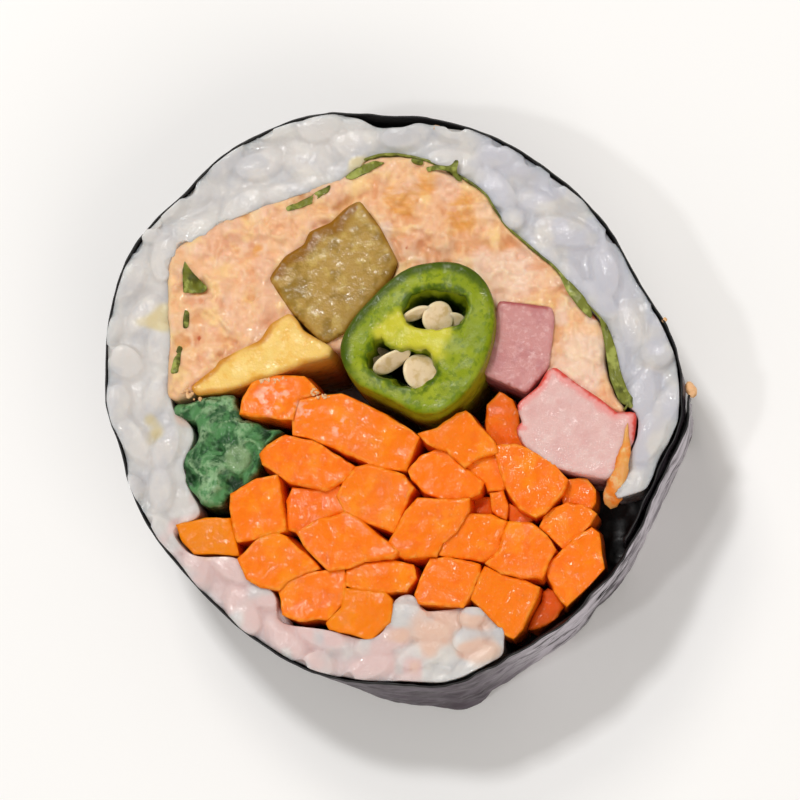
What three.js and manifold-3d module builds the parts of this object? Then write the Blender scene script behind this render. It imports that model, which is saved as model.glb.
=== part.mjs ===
// A thick slice of gimbap lying on its lower cut face: a seaweed sheet rolled round rice, with tuna
// salad in a perilla leaf, pickle, egg, green chili, ham, crab stick, spinach and carrot batons.
// Millimetres, +Z up. Outlines are drawn on the upper cut face, seen from above. Every filling is a
// column that runs through the slice, because the roll was filled lengthways and cut across.
import * as THREE from "three";
import { mergeVertices } from "three/addons/utils/BufferGeometryUtils.js";
import Module from "manifold-3d";

const wasm = await Module();
wasm.setup();

// Sizes shared by all the pieces.
const SLICE_HEIGHT = 17; // from the lower cut face to the upper one
const GAP = 0.3; // free space between neighbouring pieces
const EDGE_EASE = 0.25; // how far a cut edge is rounded off
const COLUMN_STEPS = 2; // levels between the two faces of a column
const CUTTER_OVERRUN = 5; // how far a cutting column passes both faces
const SHARPEST_MITRE = 0.5; // least cosine with which an outline's corner is moved
const LEAN_ANGLE = -55; // degrees: the roll was cut a little askew, so it is longer along this line
const LEAN_STRETCH = 1.022;

// Outer edge of the seaweed on the upper face: [degrees, radius].
const RIM = [
  [4, 28.1], [17, 27.3], [24, 26.5], [39, 26.6], [55, 27.0], [68, 27.6],
  [84, 28.2], [93, 28.3], [106, 29.7], [118, 30.0], [126, 30.2], [135, 29.8],
  [150, 30.7], [161, 30.3], [176, 29.3], [182, 29.1], [189, 28.1], [201, 28.0],
  [214, 27.4], [224, 27.3], [237, 27.9], [258, 28.4], [270, 28.2], [282, 28.5],
  [292, 27.5], [306, 27.0], [328, 26.5], [340, 26.3], [348, 26.9], [356, 27.9],
];
// How far the side stands out at the foot, past the rim above it: [degrees, millimetres].
const FOOT = [
  [0, -0.6], [90, -0.6], [180, -0.6], [256, -0.8], [268, 0.4],
  [280, 0.5], [289, -0.3], [300, -0.6], [320, -1.1], [340, -0.9],
];

// The seaweed is one sheet: it starts inside the seam, goes once round and laps over its own start.
const GIM_THICKNESS = 0.3;
const GIM_START = -32; // degrees
const GIM_END = 361;
const GIM_STEPS = 96;
const GIM_LEVELS = 3;
const LAP_FROM = 292; // degrees, where the sheet begins to climb over its start
const LAP_TO = 327;
const LAP_RISE = 0.62;

// The perilla leaf is a thin band round the tuna salad, from the left side over the top to the right.
const WRAP_LINE = [
  [-23.5, 0.5], [-23.4, 6.0], [-23.4, 13.6], [-22.1, 15.4], [-19.4, 16.9], [-16.3, 18.8],
  [-10.0, 21.0], [-5.9, 22.5], [-3.8, 24.0], [-0.8, 24.6], [3.0, 23.9], [7.0, 21.9],
  [9.0, 20.2], [10.3, 17.8], [13.6, 14.7], [15.5, 13.1], [19.0, 8.9], [20.5, 7.2],
  [20.7, 3.2], [21.5, 0.8], [22.5, -0.8],
];
const WRAP_STEPS = 46;
const LEAF_HALF_WIDTH = 0.17;
const LEAF_WIDE_HALF_WIDTH = 0.42; // towards its right end
const LEAF_WIDE_FROM = 0.84; // share of the band's length
const LEAF_DEPTH = 0.5; // how far the leaf's edge stays below the cut face

// Rice: everything inside the seaweed that the filling leaves, but for the bare sector.
const RICE_STEPS = 84;
const GRAIN_WIDTH = 3; // bumps along the rice's edges are one grain apart
const GRAIN_BUMP = 0.22;
const TOP_HOLLOW = { from: 80, to: 101, depth: 0.45 }; // degrees: rice falls short of the seaweed
const FILLING_RIGHT = [[24.0, -1.4], [23.7, -4.0], [22.7, -6.2], [21.6, -8.8], [19, -16], [12, -21]];
const FILLING_RIGHT_STEPS = 10;
const FILLING_LEFT_STEPS = 60;
const FILLING_LEFT = [
  [10.4, -23.2], [8.8, -21.3], [7.4, -20.7], [2.2, -21.1], [1.5, -19.7], [0.4, -19.4],
  [-0.7, -20.4], [-1.0, -22.4], [-3.0, -24.0], [-7.2, -23.1], [-12.3, -22.2], [-12.7, -19.4],
  [-15.4, -18.0], [-16.3, -16.0], [-20.5, -15.6], [-22.6, -13.4], [-22.4, -12.2], [-20.3, -11.4],
  [-21.4, -9.2], [-22.4, -6.4], [-21.3, -3.3], [-23.4, -1.2],
];
const BARE_SECTOR = [
  [18, -8], [21.2, -9.5], [24.2, -8.6], [34, -8], [34, -34], [9.6, -34], [9.9, -24.6], [10, -20],
];

// Tuna salad: under the leaf, down to the pieces that bound it below.
const TUNA_LOWER = [
  [19.6, -0.1], [17.0, 1.6], [14.4, 2.6], [12.0, 4.5], [4.0, 6.0], [-5.0, 5.6],
  [-10.0, 5.4], [-14.0, 3.6], [-18.0, 2.2], [-21.3, 0.9], [-22.9, 0.3],
];
const TUNA_LOWER_STEPS = 16;

const PICKLE = {
  corners: [
    [-4.0, 20.0], [-1.9, 17.1], [-0.2, 13.7], [-0.8, 12.3], [-5.1, 7.5], [-5.5, 6.8], [-7.5, 5.6],
    [-8.3, 6.3], [-11.0, 9.0], [-13.2, 12.3], [-11.6, 14.4], [-9.6, 15.6], [-9.1, 16.9],
    [-6.9, 17.8], [-5.3, 19.3],
  ],
  top: 17.5, slope: [0.03, 0.01],
};
const EGG = {
  corners: [
    [-11.0, 8.6], [-12.9, 7.5], [-13.9, 5.9], [-18.1, 3.9], [-18.6, 3.1], [-21.0, 1.2],
    [-20.5, 0.5], [-17.9, 0.7], [-15.5, 1.4], [-11.7, 2.7], [-9.7, 3.6], [-7.0, 4.2],
    [-6.7, 5.1], [-8.2, 5.9], [-9.7, 6.8], [-10.4, 8.1],
  ],
  top: 17.7, slope: [0.02, 0.03],
};
const HAM = {
  corners: [
    [10.0, 9.8], [15.2, 9.2], [15.4, 8.0], [14.8, 3.2], [12.6, 0.7], [8.4, 2.6],
    [9.4, 6.2], [9.6, 8.6],
  ],
  top: 17.3, slope: [-0.02, 0.03],
};
const CRAB_STICK = {
  corners: [
    [15.5, 3.0], [14.8, 2.8], [13.9, 1.2], [11.8, -0.6], [12.4, -2.3], [11.7, -2.9],
    [12.6, -4.6], [15.5, -6.6], [18.6, -7.4], [20.6, -7.7], [21.9, -5.7], [23.0, -4.1],
    [23.4, -1.4], [21.5, -1.5], [19.8, -0.1], [17.3, 1.5],
  ],
  top: 17.6, slope: [0, 0.02],
};
const SPINACH = {
  corners: [
    [-22.7, -0.8], [-22.2, -0.2], [-19.5, 0.1], [-16.6, 0.3], [-15.9, -1.8], [-14.2, -2.3],
    [-11.8, -3.2], [-13.5, -4.9], [-14.4, -7.6], [-16.4, -9.0], [-17.8, -10.5], [-19.4, -10.8],
    [-20.6, -9.4], [-21.8, -6.5], [-20.4, -3.5], [-20.9, -2.1], [-22.4, -1.4],
  ],
  top: 16.8, slope: [0.02, 0],
};

// The chili is a piece of the whole pod, standing proud of the cut with its round side showing.
const CHILI = {
  outline: [
    [-5.5, 4.8], [-5.2, 2.6], [-4.0, 0.9], [-2.0, -0.1], [0, -1.1], [2.1, -2.2], [3.8, -2.2],
    [6.0, -0.7], [7.9, 1.7], [9.1, 4.8], [9.5, 8.0], [9.1, 10.2], [7.9, 12.0],
    [6.0, 13.1], [2.7, 13.1], [0.5, 12.2], [-2.0, 10.0], [-4.3, 7.3],
  ],
  top: 19.5,
  levels: 6,
  steps: 40,
  faceDepth: 0.93, // length of the cut end across the pod, as a share of the pod below it
  faceEdge: 13.1, // y of the side that stays upright
};
// The pod's two seed chambers, open at both ends.
const CHAMBER_STEPS = 16;
const CHILI_CHAMBERS = [
  [[1.4, 10.2], [3.9, 10.8], [7.0, 9.9], [6.9, 8.0], [5.7, 6.8], [0.8, 7.1], [0.8, 9.3]],
  [
    [-1.5, 6.2], [-3.0, 4.2], [-3.0, 2.7], [-1.4, 1.7], [0.6, 0.8], [1.9, 0.6], [4.2, 2.1],
    [3.9, 3.3], [3.3, 4.8], [-0.6, 4.9],
  ],
];

// Carrot batons: corners of the cut end, height of that end, and its slope in millimetres per
// millimetre along X and Y.
const BATONS = [
  {
    corners: [
      [-14.5, 2.0], [-11.5, 2.2], [-9.6, 2.2], [-8.1, 0.7], [-10.1, 0.1], [-10.7, -2.0],
      [-15.9, -1.4], [-15.5, 0.2],
    ],
    top: 17.6, slope: [-0.02, -0.05],
  },
  {
    corners: [
      [-10.1, 0], [-5.9, 0.5], [-4.4, -0.1], [-1.3, -1.7], [1.8, -3.8], [1.1, -5.4], [0.5, -6.9],
      [-2.1, -6.7], [-8.7, -3.9], [-10.7, -3.4], [-10.8, -2.1],
    ],
    top: 17.4, slope: [0.03, 0.03],
  },
  {
    corners: [
      [-11.4, -3.7], [-8.8, -4.1], [-4.5, -6.8], [-5.6, -8.1], [-7.5, -8.9], [-9.2, -8.7],
      [-11.1, -8.1], [-13.7, -6.5], [-13.9, -5.5], [-13.2, -4.6],
    ],
    top: 17.3, slope: [0.02, 0.06],
  },
  {
    corners: [
      [-16.8, -9.5], [-14.2, -8.0], [-12.3, -7.6], [-12.1, -8.2], [-11.8, -10.5], [-11.5, -12.9],
      [-13.8, -13.6], [-16.1, -14.1], [-16.7, -12.0],
    ],
    top: 17.5, slope: [-0.04, 0.02],
  },
  {
    corners: [
      [-5.6, -8.2], [-4.4, -6.8], [-3.2, -6.6], [-2.0, -6.9], [0.3, -7.6], [1.3, -8.8],
      [0.7, -10.1], [-0.5, -13.2], [-4.3, -11.7], [-5.3, -11.1], [-6.1, -9.6],
    ],
    top: 17.4, slope: [0.02, 0.05],
  },
  {
    corners: [
      [-10.8, -8.8], [-9.2, -8.9], [-7.5, -9.1], [-6.1, -8.6], [-6.0, -10.0], [-5.6, -11.1],
      [-7.6, -11.8], [-9.6, -13.3], [-11.2, -12.8], [-11.4, -10.0],
    ],
    top: 16.6, slope: [0.05, 0.02],
  },
  {
    corners: [
      [-5.3, -11.3], [-4.3, -11.8], [-1.0, -14.5], [-0.2, -15.2], [-0.8, -15.7], [-3.5, -16.0],
      [-5.0, -16.7], [-7.0, -16.9], [-9.5, -14.5], [-10.2, -13.3], [-7.8, -12.0],
    ],
    top: 17.5, slope: [0.04, -0.02],
  },
  {
    corners: [
      [-12.5, -13.4], [-11.4, -13.7], [-10.0, -14.9], [-8.1, -16.7], [-9.2, -17.0], [-11.2, -17.9],
      [-12.1, -18.9], [-13.8, -18.6], [-15.2, -17.8], [-15.9, -15.9], [-13.8, -13.8],
    ],
    top: 17.3, slope: [-0.05, 0.03],
  },
  {
    corners: [
      [-22.0, -12.4], [-19.5, -11.9], [-17.1, -11.9], [-16.3, -15.3], [-20.4, -15.1],
      [-21.4, -14.0],
    ],
    top: 16.9, slope: [0.02, 0.02],
  },
  {
    corners: [
      [-11.1, -18.0], [-9.0, -17.2], [-5.6, -17.0], [-5.5, -18.2], [-5.8, -20.2], [-7.3, -21.7],
      [-10.0, -21.8], [-11.6, -21.2], [-12.0, -19.1],
    ],
    top: 17.0, slope: [0.01, -0.03],
  },
  {
    corners: [
      [-5.2, -17.0], [-3.5, -16.3], [-0.5, -16.1], [1.2, -16.5], [1.4, -17.6], [0.5, -18.8],
      [-1.5, -19.0], [-4.0, -18.7], [-5.3, -18.3],
    ],
    top: 17.1, slope: [-0.03, -0.04],
  },
  {
    corners: [
      [-5.4, -18.9], [-1.5, -19.2], [-0.9, -19.8], [-1.1, -22.0], [-2.9, -23.7], [-5.0, -23.1],
      [-7.0, -22.7], [-7.2, -22.1], [-5.8, -20.6],
    ],
    top: 17.1, slope: [0.02, 0.04],
  },
  {
    corners: [
      [1.9, -10.0], [6.8, -10.0], [6.8, -11.1], [5.6, -13.0], [4.1, -14.2], [3.6, -15.5],
      [0.5, -15.6], [-0.4, -15.1], [-0.9, -14.1], [0.7, -11.2],
    ],
    top: 17.6, slope: [0.01, 0.05],
  },
  {
    corners: [
      [6.6, -11.4], [9.0, -11.4], [10.5, -12.1], [10.0, -13.8], [9.7, -15.2], [8.5, -15.9],
      [6.2, -15.6], [4.0, -15.3], [4.4, -14.2], [5.7, -12.9],
    ],
    top: 17.0, slope: [-0.04, 0.02],
  },
  {
    corners: [
      [10.9, -12.2], [13.0, -12.4], [14.5, -13.5], [15.3, -14.8], [14.5, -16.2], [14.0, -17.6],
      [12.0, -17.5], [10.0, -17.1], [8.7, -16.2], [9.9, -15.0], [10.2, -13.7],
    ],
    top: 17.5, slope: [0.03, -0.04],
  },
  {
    corners: [
      [3.0, -15.8], [4.5, -15.7], [7.0, -16.1], [7.8, -16.4], [7.8, -17.2], [7.2, -18.8],
      [6.2, -20.5], [4.0, -20.3], [1.9, -20.0], [1.6, -19.3], [2.4, -17.3],
    ],
    top: 17.2, slope: [0.05, -0.02],
  },
  {
    corners: [
      [8.5, -16.7], [10.0, -17.4], [12.0, -17.9], [13.7, -18.6], [13.6, -19.5], [12.8, -21.0],
      [12.0, -22.5], [11.1, -23.3], [10.3, -23.0], [9.0, -21.4], [8.2, -20.6], [7.2, -19.7],
      [7.4, -18.8], [8.1, -17.3],
    ],
    top: 17.1, slope: [-0.02, 0.05],
  },
  {
    corners: [
      [14.8, -16.1], [16.2, -14.9], [17.5, -13.6], [19.0, -12.7], [19.6, -13.2], [19.8, -14.5],
      [20.3, -17.0], [19.7, -18.0], [18.3, -19.2], [16.6, -20.4], [16.0, -19.8], [15.4, -18.9],
      [14.7, -17.2],
    ],
    top: 17.0, slope: [0.05, 0.02],
  },
  {
    corners: [
      [14.3, -11.6], [15.3, -10.8], [16.5, -10.3], [18.0, -10.5], [19.4, -11.3], [18.8, -12.3],
      [17.5, -13.4], [16.2, -14.6], [15.0, -13.5], [14.0, -12.5],
    ],
    top: 16.9, slope: [0.02, 0.05],
  },
  {
    corners: [
      [16.6, -7.9], [17.8, -7.7], [18.5, -7.8], [19.2, -8.8], [19.2, -10.0], [18.6, -10.8],
      [17.5, -10.2], [16.3, -10.1], [16.2, -9.3], [16.7, -8.6],
    ],
    top: 16.3, slope: [0.04, 0.03],
  },
  {
    corners: [
      [9.8, -4.7], [11.5, -4.6], [13.0, -5.2], [14.8, -6.1], [16.5, -8.0], [16.0, -9.3],
      [15.1, -10.3], [14.4, -11.2], [13.5, -11.6], [12.0, -10.8], [11.0, -9.5], [10.5, -8.5],
      [10.1, -7.0], [9.8, -5.5],
    ],
    top: 17.6, slope: [0.01, -0.05],
  },
  {
    corners: [
      [2.0, -5.8], [3.8, -5.0], [4.7, -5.3], [5.5, -6.1], [6.2, -6.8], [7.5, -7.6], [8.2, -8.2],
      [7.8, -9.2], [6.2, -9.8], [4.0, -9.7], [2.5, -9.0], [1.1, -7.8], [0.9, -7.0],
    ],
    top: 17.0, slope: [-0.03, -0.03],
  },
  {
    corners: [
      [2.1, -3.5], [3.8, -3.0], [5.8, -1.5], [6.6, -1.3], [8.0, -2.8], [9.4, -4.4], [9.6, -5.2],
      [8.0, -5.6], [7.1, -6.0], [6.4, -6.6], [5.6, -5.9], [4.8, -5.1], [3.9, -4.8], [2.8, -4.3],
    ],
    top: 17.6, slope: [-0.02, 0.06],
  },
  {
    corners: [
      [6.6, -6.8], [7.3, -6.2], [8.5, -5.7], [9.7, -5.4], [10.0, -7.0], [10.4, -8.4], [10.0, -8.9],
      [8.7, -8.8], [8.4, -8.1], [7.2, -7.3],
    ],
    top: 16.4, slope: [0.02, 0.02],
  },
  {
    corners: [
      [8.7, -0.3], [9.8, 0.8], [11.0, 0.2], [11.6, -1.0], [11.7, -2.0], [11.5, -2.9], [12.2, -4.3],
      [11.0, -4.3], [9.7, -4.2], [8.7, -3.0], [8.4, -1.8],
    ],
    top: 15.6, slope: [0.02, 0.06],
  },
  {
    corners: [
      [9.0, -9.2], [10.2, -9.0], [10.6, -10.4], [10.4, -11.7], [9.7, -11.4], [9.2, -10.9],
    ],
    top: 16.4, slope: [0, 0.05],
  },
  {
    corners: [
      [14.1, -18.9], [14.6, -18.6], [15.2, -19.0], [15.9, -20.3], [15.0, -21.5], [13.6, -22.2],
      [12.6, -22.4], [13.1, -21.1], [13.9, -19.8],
    ],
    top: 15.2, slope: [0, 0.06],
  },
  {
    corners: [
      [10.9, -10.3], [11.8, -10.9], [12.9, -11.8], [12.2, -12.1], [11.0, -12.0], [10.8, -11.2],
    ],
    top: 15.8, slope: [0.02, 0.02],
  },
  {
    corners: [
      [7.0, -9.8], [8.0, -9.5], [8.7, -9.5], [8.9, -11.1], [7.2, -11.1],
    ],
    top: 14.8, slope: [0, 0.04],
  },
];

const FINISHES = {
  gim: { color: "#2c2a30", roughness: 0.5 },
  rice: { color: "#cfcdd0", roughness: 0.35 },
  perilla_leaf: { color: "#4c6b2c", roughness: 0.5 },
  tuna: { color: "#e9b994", roughness: 0.6 },
  pickle: { color: "#a59a4a", roughness: 0.25 },
  egg: { color: "#efcb70", roughness: 0.4 },
  chili: { color: "#4f7d1f", roughness: 0.3 },
  ham: { color: "#d79c9b", roughness: 0.4 },
  crab_stick: { color: "#e8c6c2", roughness: 0.4 },
  spinach: { color: "#2f5c3c", roughness: 0.35 },
  carrot: { color: "#f57f1a", roughness: 0.35 },
};

/** A smooth function round the circle through [degrees, value] pairs in rising order. */
function roundTable(pairs) {
  const turns = [-360, 0, 360];
  const angles = turns.flatMap((turn) => pairs.map(([angle]) => angle + turn));
  const values = turns.flatMap(() => pairs.map(([, value]) => value));
  const table = new THREE.CubicInterpolant(angles, values, 1);
  return (angle) => table.evaluate(angle)[0];
}

const rimRadius = roundTable(RIM);
const footShift = roundTable(FOOT);

/** The point at a radius and an angle in degrees. */
function polar(radius, angle) {
  const turn = THREE.MathUtils.degToRad(angle);
  return new THREE.Vector2(radius * Math.cos(turn), radius * Math.sin(turn));
}

function toPoints(pairs) {
  return pairs.map(([x, y]) => new THREE.Vector2(x, y));
}

/** A smooth line through the given points, in steps of one length. */
function smoothLine(pairs, steps) {
  return new THREE.SplineCurve(toPoints(pairs)).getSpacedPoints(steps);
}

/** A closed smooth outline through the given corners. */
function smoothLoop(pairs, steps) {
  const corners = pairs.map(([x, y]) => new THREE.Vector3(x, y, 0));
  const curve = new THREE.CatmullRomCurve3(corners, true, "centripetal");
  return curve.getSpacedPoints(steps).slice(0, -1).map((p) => new THREE.Vector2(p.x, p.y));
}

/** An outline moved outwards by a distance, or inwards by a negative one. */
function offsetLoop(loop, distance) {
  const outward = THREE.ShapeUtils.isClockWise(loop) ? -distance : distance;
  return loop.map((point, i) => {
    const arriving = point.clone().sub(loop.at(i - 1)).normalize();
    const leaving = loop[(i + 1) % loop.length].clone().sub(point).normalize();
    const along = arriving.clone().add(leaving).normalize();
    const spread = outward / Math.max(along.dot(leaving), SHARPEST_MITRE);
    return new THREE.Vector2(point.x + along.y * spread, point.y - along.x * spread);
  });
}

/** The solid that a closed geometry bounds. */
function toSolid(geometry) {
  geometry.deleteAttribute("normal");
  geometry.deleteAttribute("uv");
  const merged = mergeVertices(geometry);
  return new wasm.Manifold(
    new wasm.Mesh({
      numProp: 3,
      vertProperties: merged.attributes.position.array,
      triVerts: Uint32Array.from(merged.index.array),
    }),
  );
}

/** The largest of a solid's bodies, without the crumbs that a cut leaves. */
function largest(solid) {
  return solid.decompose().reduce((most, body) => (body.volume() > most.volume() ? body : most));
}

function toGeometry(solid) {
  const mesh = solid.getMesh();
  const geometry = new THREE.BufferGeometry();
  geometry.setAttribute("position", new THREE.BufferAttribute(mesh.vertProperties, 3));
  geometry.setIndex(new THREE.BufferAttribute(mesh.triVerts, 1));
  return geometry;
}

/** Moves every vertex of a geometry to where the function puts it. */
function reshape(geometry, move) {
  const positions = geometry.attributes.position;
  const point = new THREE.Vector3();
  for (let i = 0; i < positions.count; i++) {
    move(point.fromBufferAttribute(positions, i));
    positions.setXYZ(i, point.x, point.y, point.z);
  }
  return geometry;
}

/** A column from the lower face up: its edges eased, its upper end at its own height and slope. */
function column(loop, options = {}) {
  const { top = SLICE_HEIGHT, slope = [0, 0], levels = COLUMN_STEPS, ease = EDGE_EASE } = options;
  const geometry = new THREE.ExtrudeGeometry(new THREE.Shape(loop), {
    depth: top - 2 * ease,
    steps: levels,
    bevelEnabled: ease > 0,
    bevelThickness: ease,
    bevelSize: ease,
    bevelOffset: -ease,
    bevelSegments: 1,
  });
  geometry.translate(0, 0, ease);
  const middle = new THREE.Box2().setFromPoints(loop).getCenter(new THREE.Vector2());
  return reshape(geometry, (point) => {
    const share = Math.max(0, 2 * (point.z / top) - 1);
    point.z += share * (slope[0] * (point.x - middle.x) + slope[1] * (point.y - middle.y));
  });
}

/** A column past both faces, which cuts its outline out of another. */
function cutter(loop) {
  const depth = SLICE_HEIGHT + 2 * CUTTER_OVERRUN;
  const geometry = new THREE.ExtrudeGeometry(new THREE.Shape(loop), { depth, bevelEnabled: false });
  return toSolid(geometry.translate(0, 0, -CUTTER_OVERRUN));
}

/** A firm filling of straight sides: its outline, kept half a gap inside the drawn corners. */
function firmLoop({ corners }) {
  return offsetLoop(toPoints(corners), -GAP / 2);
}

function firmColumn(filling) {
  return toSolid(column(firmLoop(filling), filling));
}

/** How far the seaweed's lap stands over the sheet's start at an angle. */
function lapRise(angle) {
  return LAP_RISE * THREE.MathUtils.smoothstep(angle, LAP_FROM, LAP_TO);
}

function gimSolid() {
  const outer = [];
  const inner = [];
  for (let i = 0; i <= GIM_STEPS; i++) {
    const angle = THREE.MathUtils.lerp(GIM_START, GIM_END, i / GIM_STEPS);
    const radius = rimRadius(angle) + lapRise(angle);
    outer.push(polar(radius, angle));
    inner.unshift(polar(radius - GIM_THICKNESS, angle));
  }
  return toSolid(column([...outer, ...inner], { levels: GIM_LEVELS, ease: 0 }));
}

/** The leaf's half width at a share of the band's length. */
function leafHalfWidth(share) {
  const wide = THREE.MathUtils.smoothstep(share, LEAF_WIDE_FROM, 1);
  return THREE.MathUtils.lerp(LEAF_HALF_WIDTH, LEAF_WIDE_HALF_WIDTH, wide);
}

/** The band's middle line, moved outwards by its half width and a further distance, or inwards. */
function wrapSide(side, further) {
  const line = new THREE.SplineCurve(toPoints(WRAP_LINE));
  const points = [];
  for (let i = 0; i <= WRAP_STEPS; i++) {
    const share = i / WRAP_STEPS;
    const along = line.getTangentAt(share);
    const shift = side * (leafHalfWidth(share) + further);
    const across = new THREE.Vector2(-along.y, along.x);
    points.push(line.getPointAt(share).addScaledVector(across, shift));
  }
  return points;
}

function leafSolid() {
  const loop = [...wrapSide(1, 0), ...wrapSide(-1, 0).reverse()];
  return toSolid(column(loop, { top: SLICE_HEIGHT - LEAF_DEPTH, ease: 0 }));
}

/** Tuna salad fills the leaf, and the firmer fillings are pressed into it. */
function tunaSolid() {
  const lower = smoothLine(TUNA_LOWER, TUNA_LOWER_STEPS);
  const body = toSolid(column([...wrapSide(-1, GAP / 2), ...lower]));
  const pressed = [PICKLE, EGG, HAM, CRAB_STICK].map(firmLoop);
  pressed.push(smoothLoop(CHILI.outline, CHILI.steps));
  return largest(pressed.reduce((rest, loop) => rest.subtract(cutter(offsetLoop(loop, GAP))), body));
}

/** A bump for each grain along an outline. */
function grainBumps(loop) {
  let travelled = 0;
  return loop.map((point, i) => {
    travelled += point.distanceTo(loop.at(i - 1));
    const bump = GRAIN_BUMP * Math.abs(Math.sin((Math.PI * travelled) / GRAIN_WIDTH));
    return point.clone().setLength(point.length() - bump);
  });
}

/** Outer edge of the rice against the seaweed. */
function riceRim() {
  const loop = [];
  for (let i = 0; i < RICE_STEPS; i++) {
    const angle = (360 * i) / RICE_STEPS;
    const hollow = angle > TOP_HOLLOW.from && angle < TOP_HOLLOW.to ? TOP_HOLLOW.depth : 0;
    loop.push(polar(rimRadius(angle) - GIM_THICKNESS - GAP - hollow, angle));
  }
  return grainBumps(loop);
}

/** Inner edge of the rice, round everything it holds. */
function fillingLoop() {
  const right = smoothLine(FILLING_RIGHT, FILLING_RIGHT_STEPS);
  const left = smoothLine(FILLING_LEFT, FILLING_LEFT_STEPS);
  return [...wrapSide(1, GAP / 2), ...right, ...left];
}

function riceSolid() {
  return toSolid(column(riceRim()))
    .subtract(cutter(fillingLoop()))
    .subtract(cutter(toPoints(BARE_SECTOR)));
}

/** The pod: its cut end is narrower than the pod below, so the round side shows on one edge. */
function chiliSolid() {
  const shoulder = CHILI.top * (1 - 1 / CHILI.levels);
  const pod = column(smoothLoop(CHILI.outline, CHILI.steps), CHILI);
  reshape(pod, (point) => {
    const share = Math.max(0, (point.z - shoulder) / (CHILI.top - shoulder));
    const depth = THREE.MathUtils.lerp(1, CHILI.faceDepth, share);
    point.y = CHILI.faceEdge - (CHILI.faceEdge - point.y) * depth;
  });
  const chambers = CHILI_CHAMBERS.map((corners) => cutter(smoothLoop(corners, CHAMBER_STEPS)));
  return chambers.reduce((rest, chamber) => rest.subtract(chamber), toSolid(pod));
}

/** Takes a point of the straight columns to its place in the leaning, uneven slice. */
function settle(point) {
  const angle = THREE.MathUtils.radToDeg(Math.atan2(point.y, point.x));
  const turn = (angle + 360) % 360;
  const depth = 1 - point.z / SLICE_HEIGHT;
  const scale = 1 + (footShift(turn) / rimRadius(turn)) * depth;
  const lean = polar(1, LEAN_ANGLE);
  const along = (point.x * lean.x + point.y * lean.y) * scale * (LEAN_STRETCH - 1);
  point.x = point.x * scale + lean.x * along;
  point.y = point.y * scale + lean.y * along;
}

function pieceMesh(name, solid, finish) {
  const mesh = new THREE.Mesh(
    reshape(toGeometry(solid), settle),
    new THREE.MeshStandardMaterial({ ...FINISHES[finish], metalness: 0 }),
  );
  mesh.name = name;
  return mesh;
}

function addFillings(slice) {
  slice.add(pieceMesh("perilla_leaf", leafSolid(), "perilla_leaf"));
  slice.add(pieceMesh("tuna", tunaSolid(), "tuna"));
  slice.add(pieceMesh("pickle", firmColumn(PICKLE), "pickle"));
  slice.add(pieceMesh("egg", firmColumn(EGG), "egg"));
  slice.add(pieceMesh("chili", chiliSolid(), "chili"));
  slice.add(pieceMesh("ham", firmColumn(HAM), "ham"));
  slice.add(pieceMesh("crab_stick", firmColumn(CRAB_STICK), "crab_stick"));
  slice.add(pieceMesh("spinach", firmColumn(SPINACH), "spinach"));
}

function addCarrots(slice) {
  BATONS.forEach((baton, i) => {
    const name = "carrot_" + String(i + 1).padStart(2, "0");
    slice.add(pieceMesh(name, firmColumn(baton), "carrot"));
  });
}

/** Puts the middle of the slice's foot at the origin. */
function centre(slice) {
  const box = new THREE.Box3().setFromObject(slice);
  const middle = box.getCenter(new THREE.Vector3());
  slice.position.set(-middle.x, -middle.y, -box.min.z);
}

const slice = new THREE.Group();
slice.add(pieceMesh("gim", gimSolid(), "gim"));
slice.add(pieceMesh("rice", riceSolid(), "rice"));
addFillings(slice);
addCarrots(slice);
centre(slice);

export default slice;
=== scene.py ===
"""A thick slice of gimbap, lying with its cut face up: a seaweed sheet round rice, with tuna salad in a
perilla leaf, pickle, egg, green chili, ham, crab stick, spinach and carrot batons.

Shapes are worked out in millimetres on the upper cut face, and turned to metres when a piece is made.
"""

import itertools
import logging
import math
from collections.abc import Sequence
from dataclasses import dataclass, field
from enum import Enum

import bmesh
import bpy
import numpy as np
from mathutils import Matrix, Vector
from mathutils.geometry import delaunay_2d_cdt


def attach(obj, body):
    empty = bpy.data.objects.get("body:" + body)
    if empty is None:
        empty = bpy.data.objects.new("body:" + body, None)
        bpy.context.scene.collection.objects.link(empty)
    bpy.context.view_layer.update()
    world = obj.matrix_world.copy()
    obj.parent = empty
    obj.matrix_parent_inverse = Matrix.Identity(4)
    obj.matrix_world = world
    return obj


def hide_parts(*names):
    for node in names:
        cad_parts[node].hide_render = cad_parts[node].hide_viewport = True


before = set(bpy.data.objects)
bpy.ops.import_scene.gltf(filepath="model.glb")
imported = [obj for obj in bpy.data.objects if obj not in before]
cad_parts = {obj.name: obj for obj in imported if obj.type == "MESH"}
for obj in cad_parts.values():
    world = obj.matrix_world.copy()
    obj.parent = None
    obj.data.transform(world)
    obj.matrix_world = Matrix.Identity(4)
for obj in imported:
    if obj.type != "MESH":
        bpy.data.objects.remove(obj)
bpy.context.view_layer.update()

Array = np.ndarray
Paint = dict[str, Array]  # painted values of a mesh by name, one for each vertex
Socket = bpy.types.NodeSocket
Tree = bpy.types.NodeTree

LOG = logging.getLogger("gimbap")
MM = 0.001
BODY = "root"
SLICE_HEIGHT = 17.0  # mm from the lower cut face to the upper one
ROLL_AXIS = np.array([0.29, 0.07])  # mm: the roll's middle line on the upper cut face
CUT_HEIGHT = 15.6  # mm, where the outlines of most CAD nodes are taken
LEAN_DEG = -55.0  # direction, seen from above, towards which the camera stands off the vertical
TILT_DEG = 12.0  # how far it stands off the vertical


class Face(Enum):
    """The slice's two cut faces."""

    UPPER = "upper"
    LOWER = "lower"


# ---------------------------------------------------------------- outlines and noise


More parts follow.
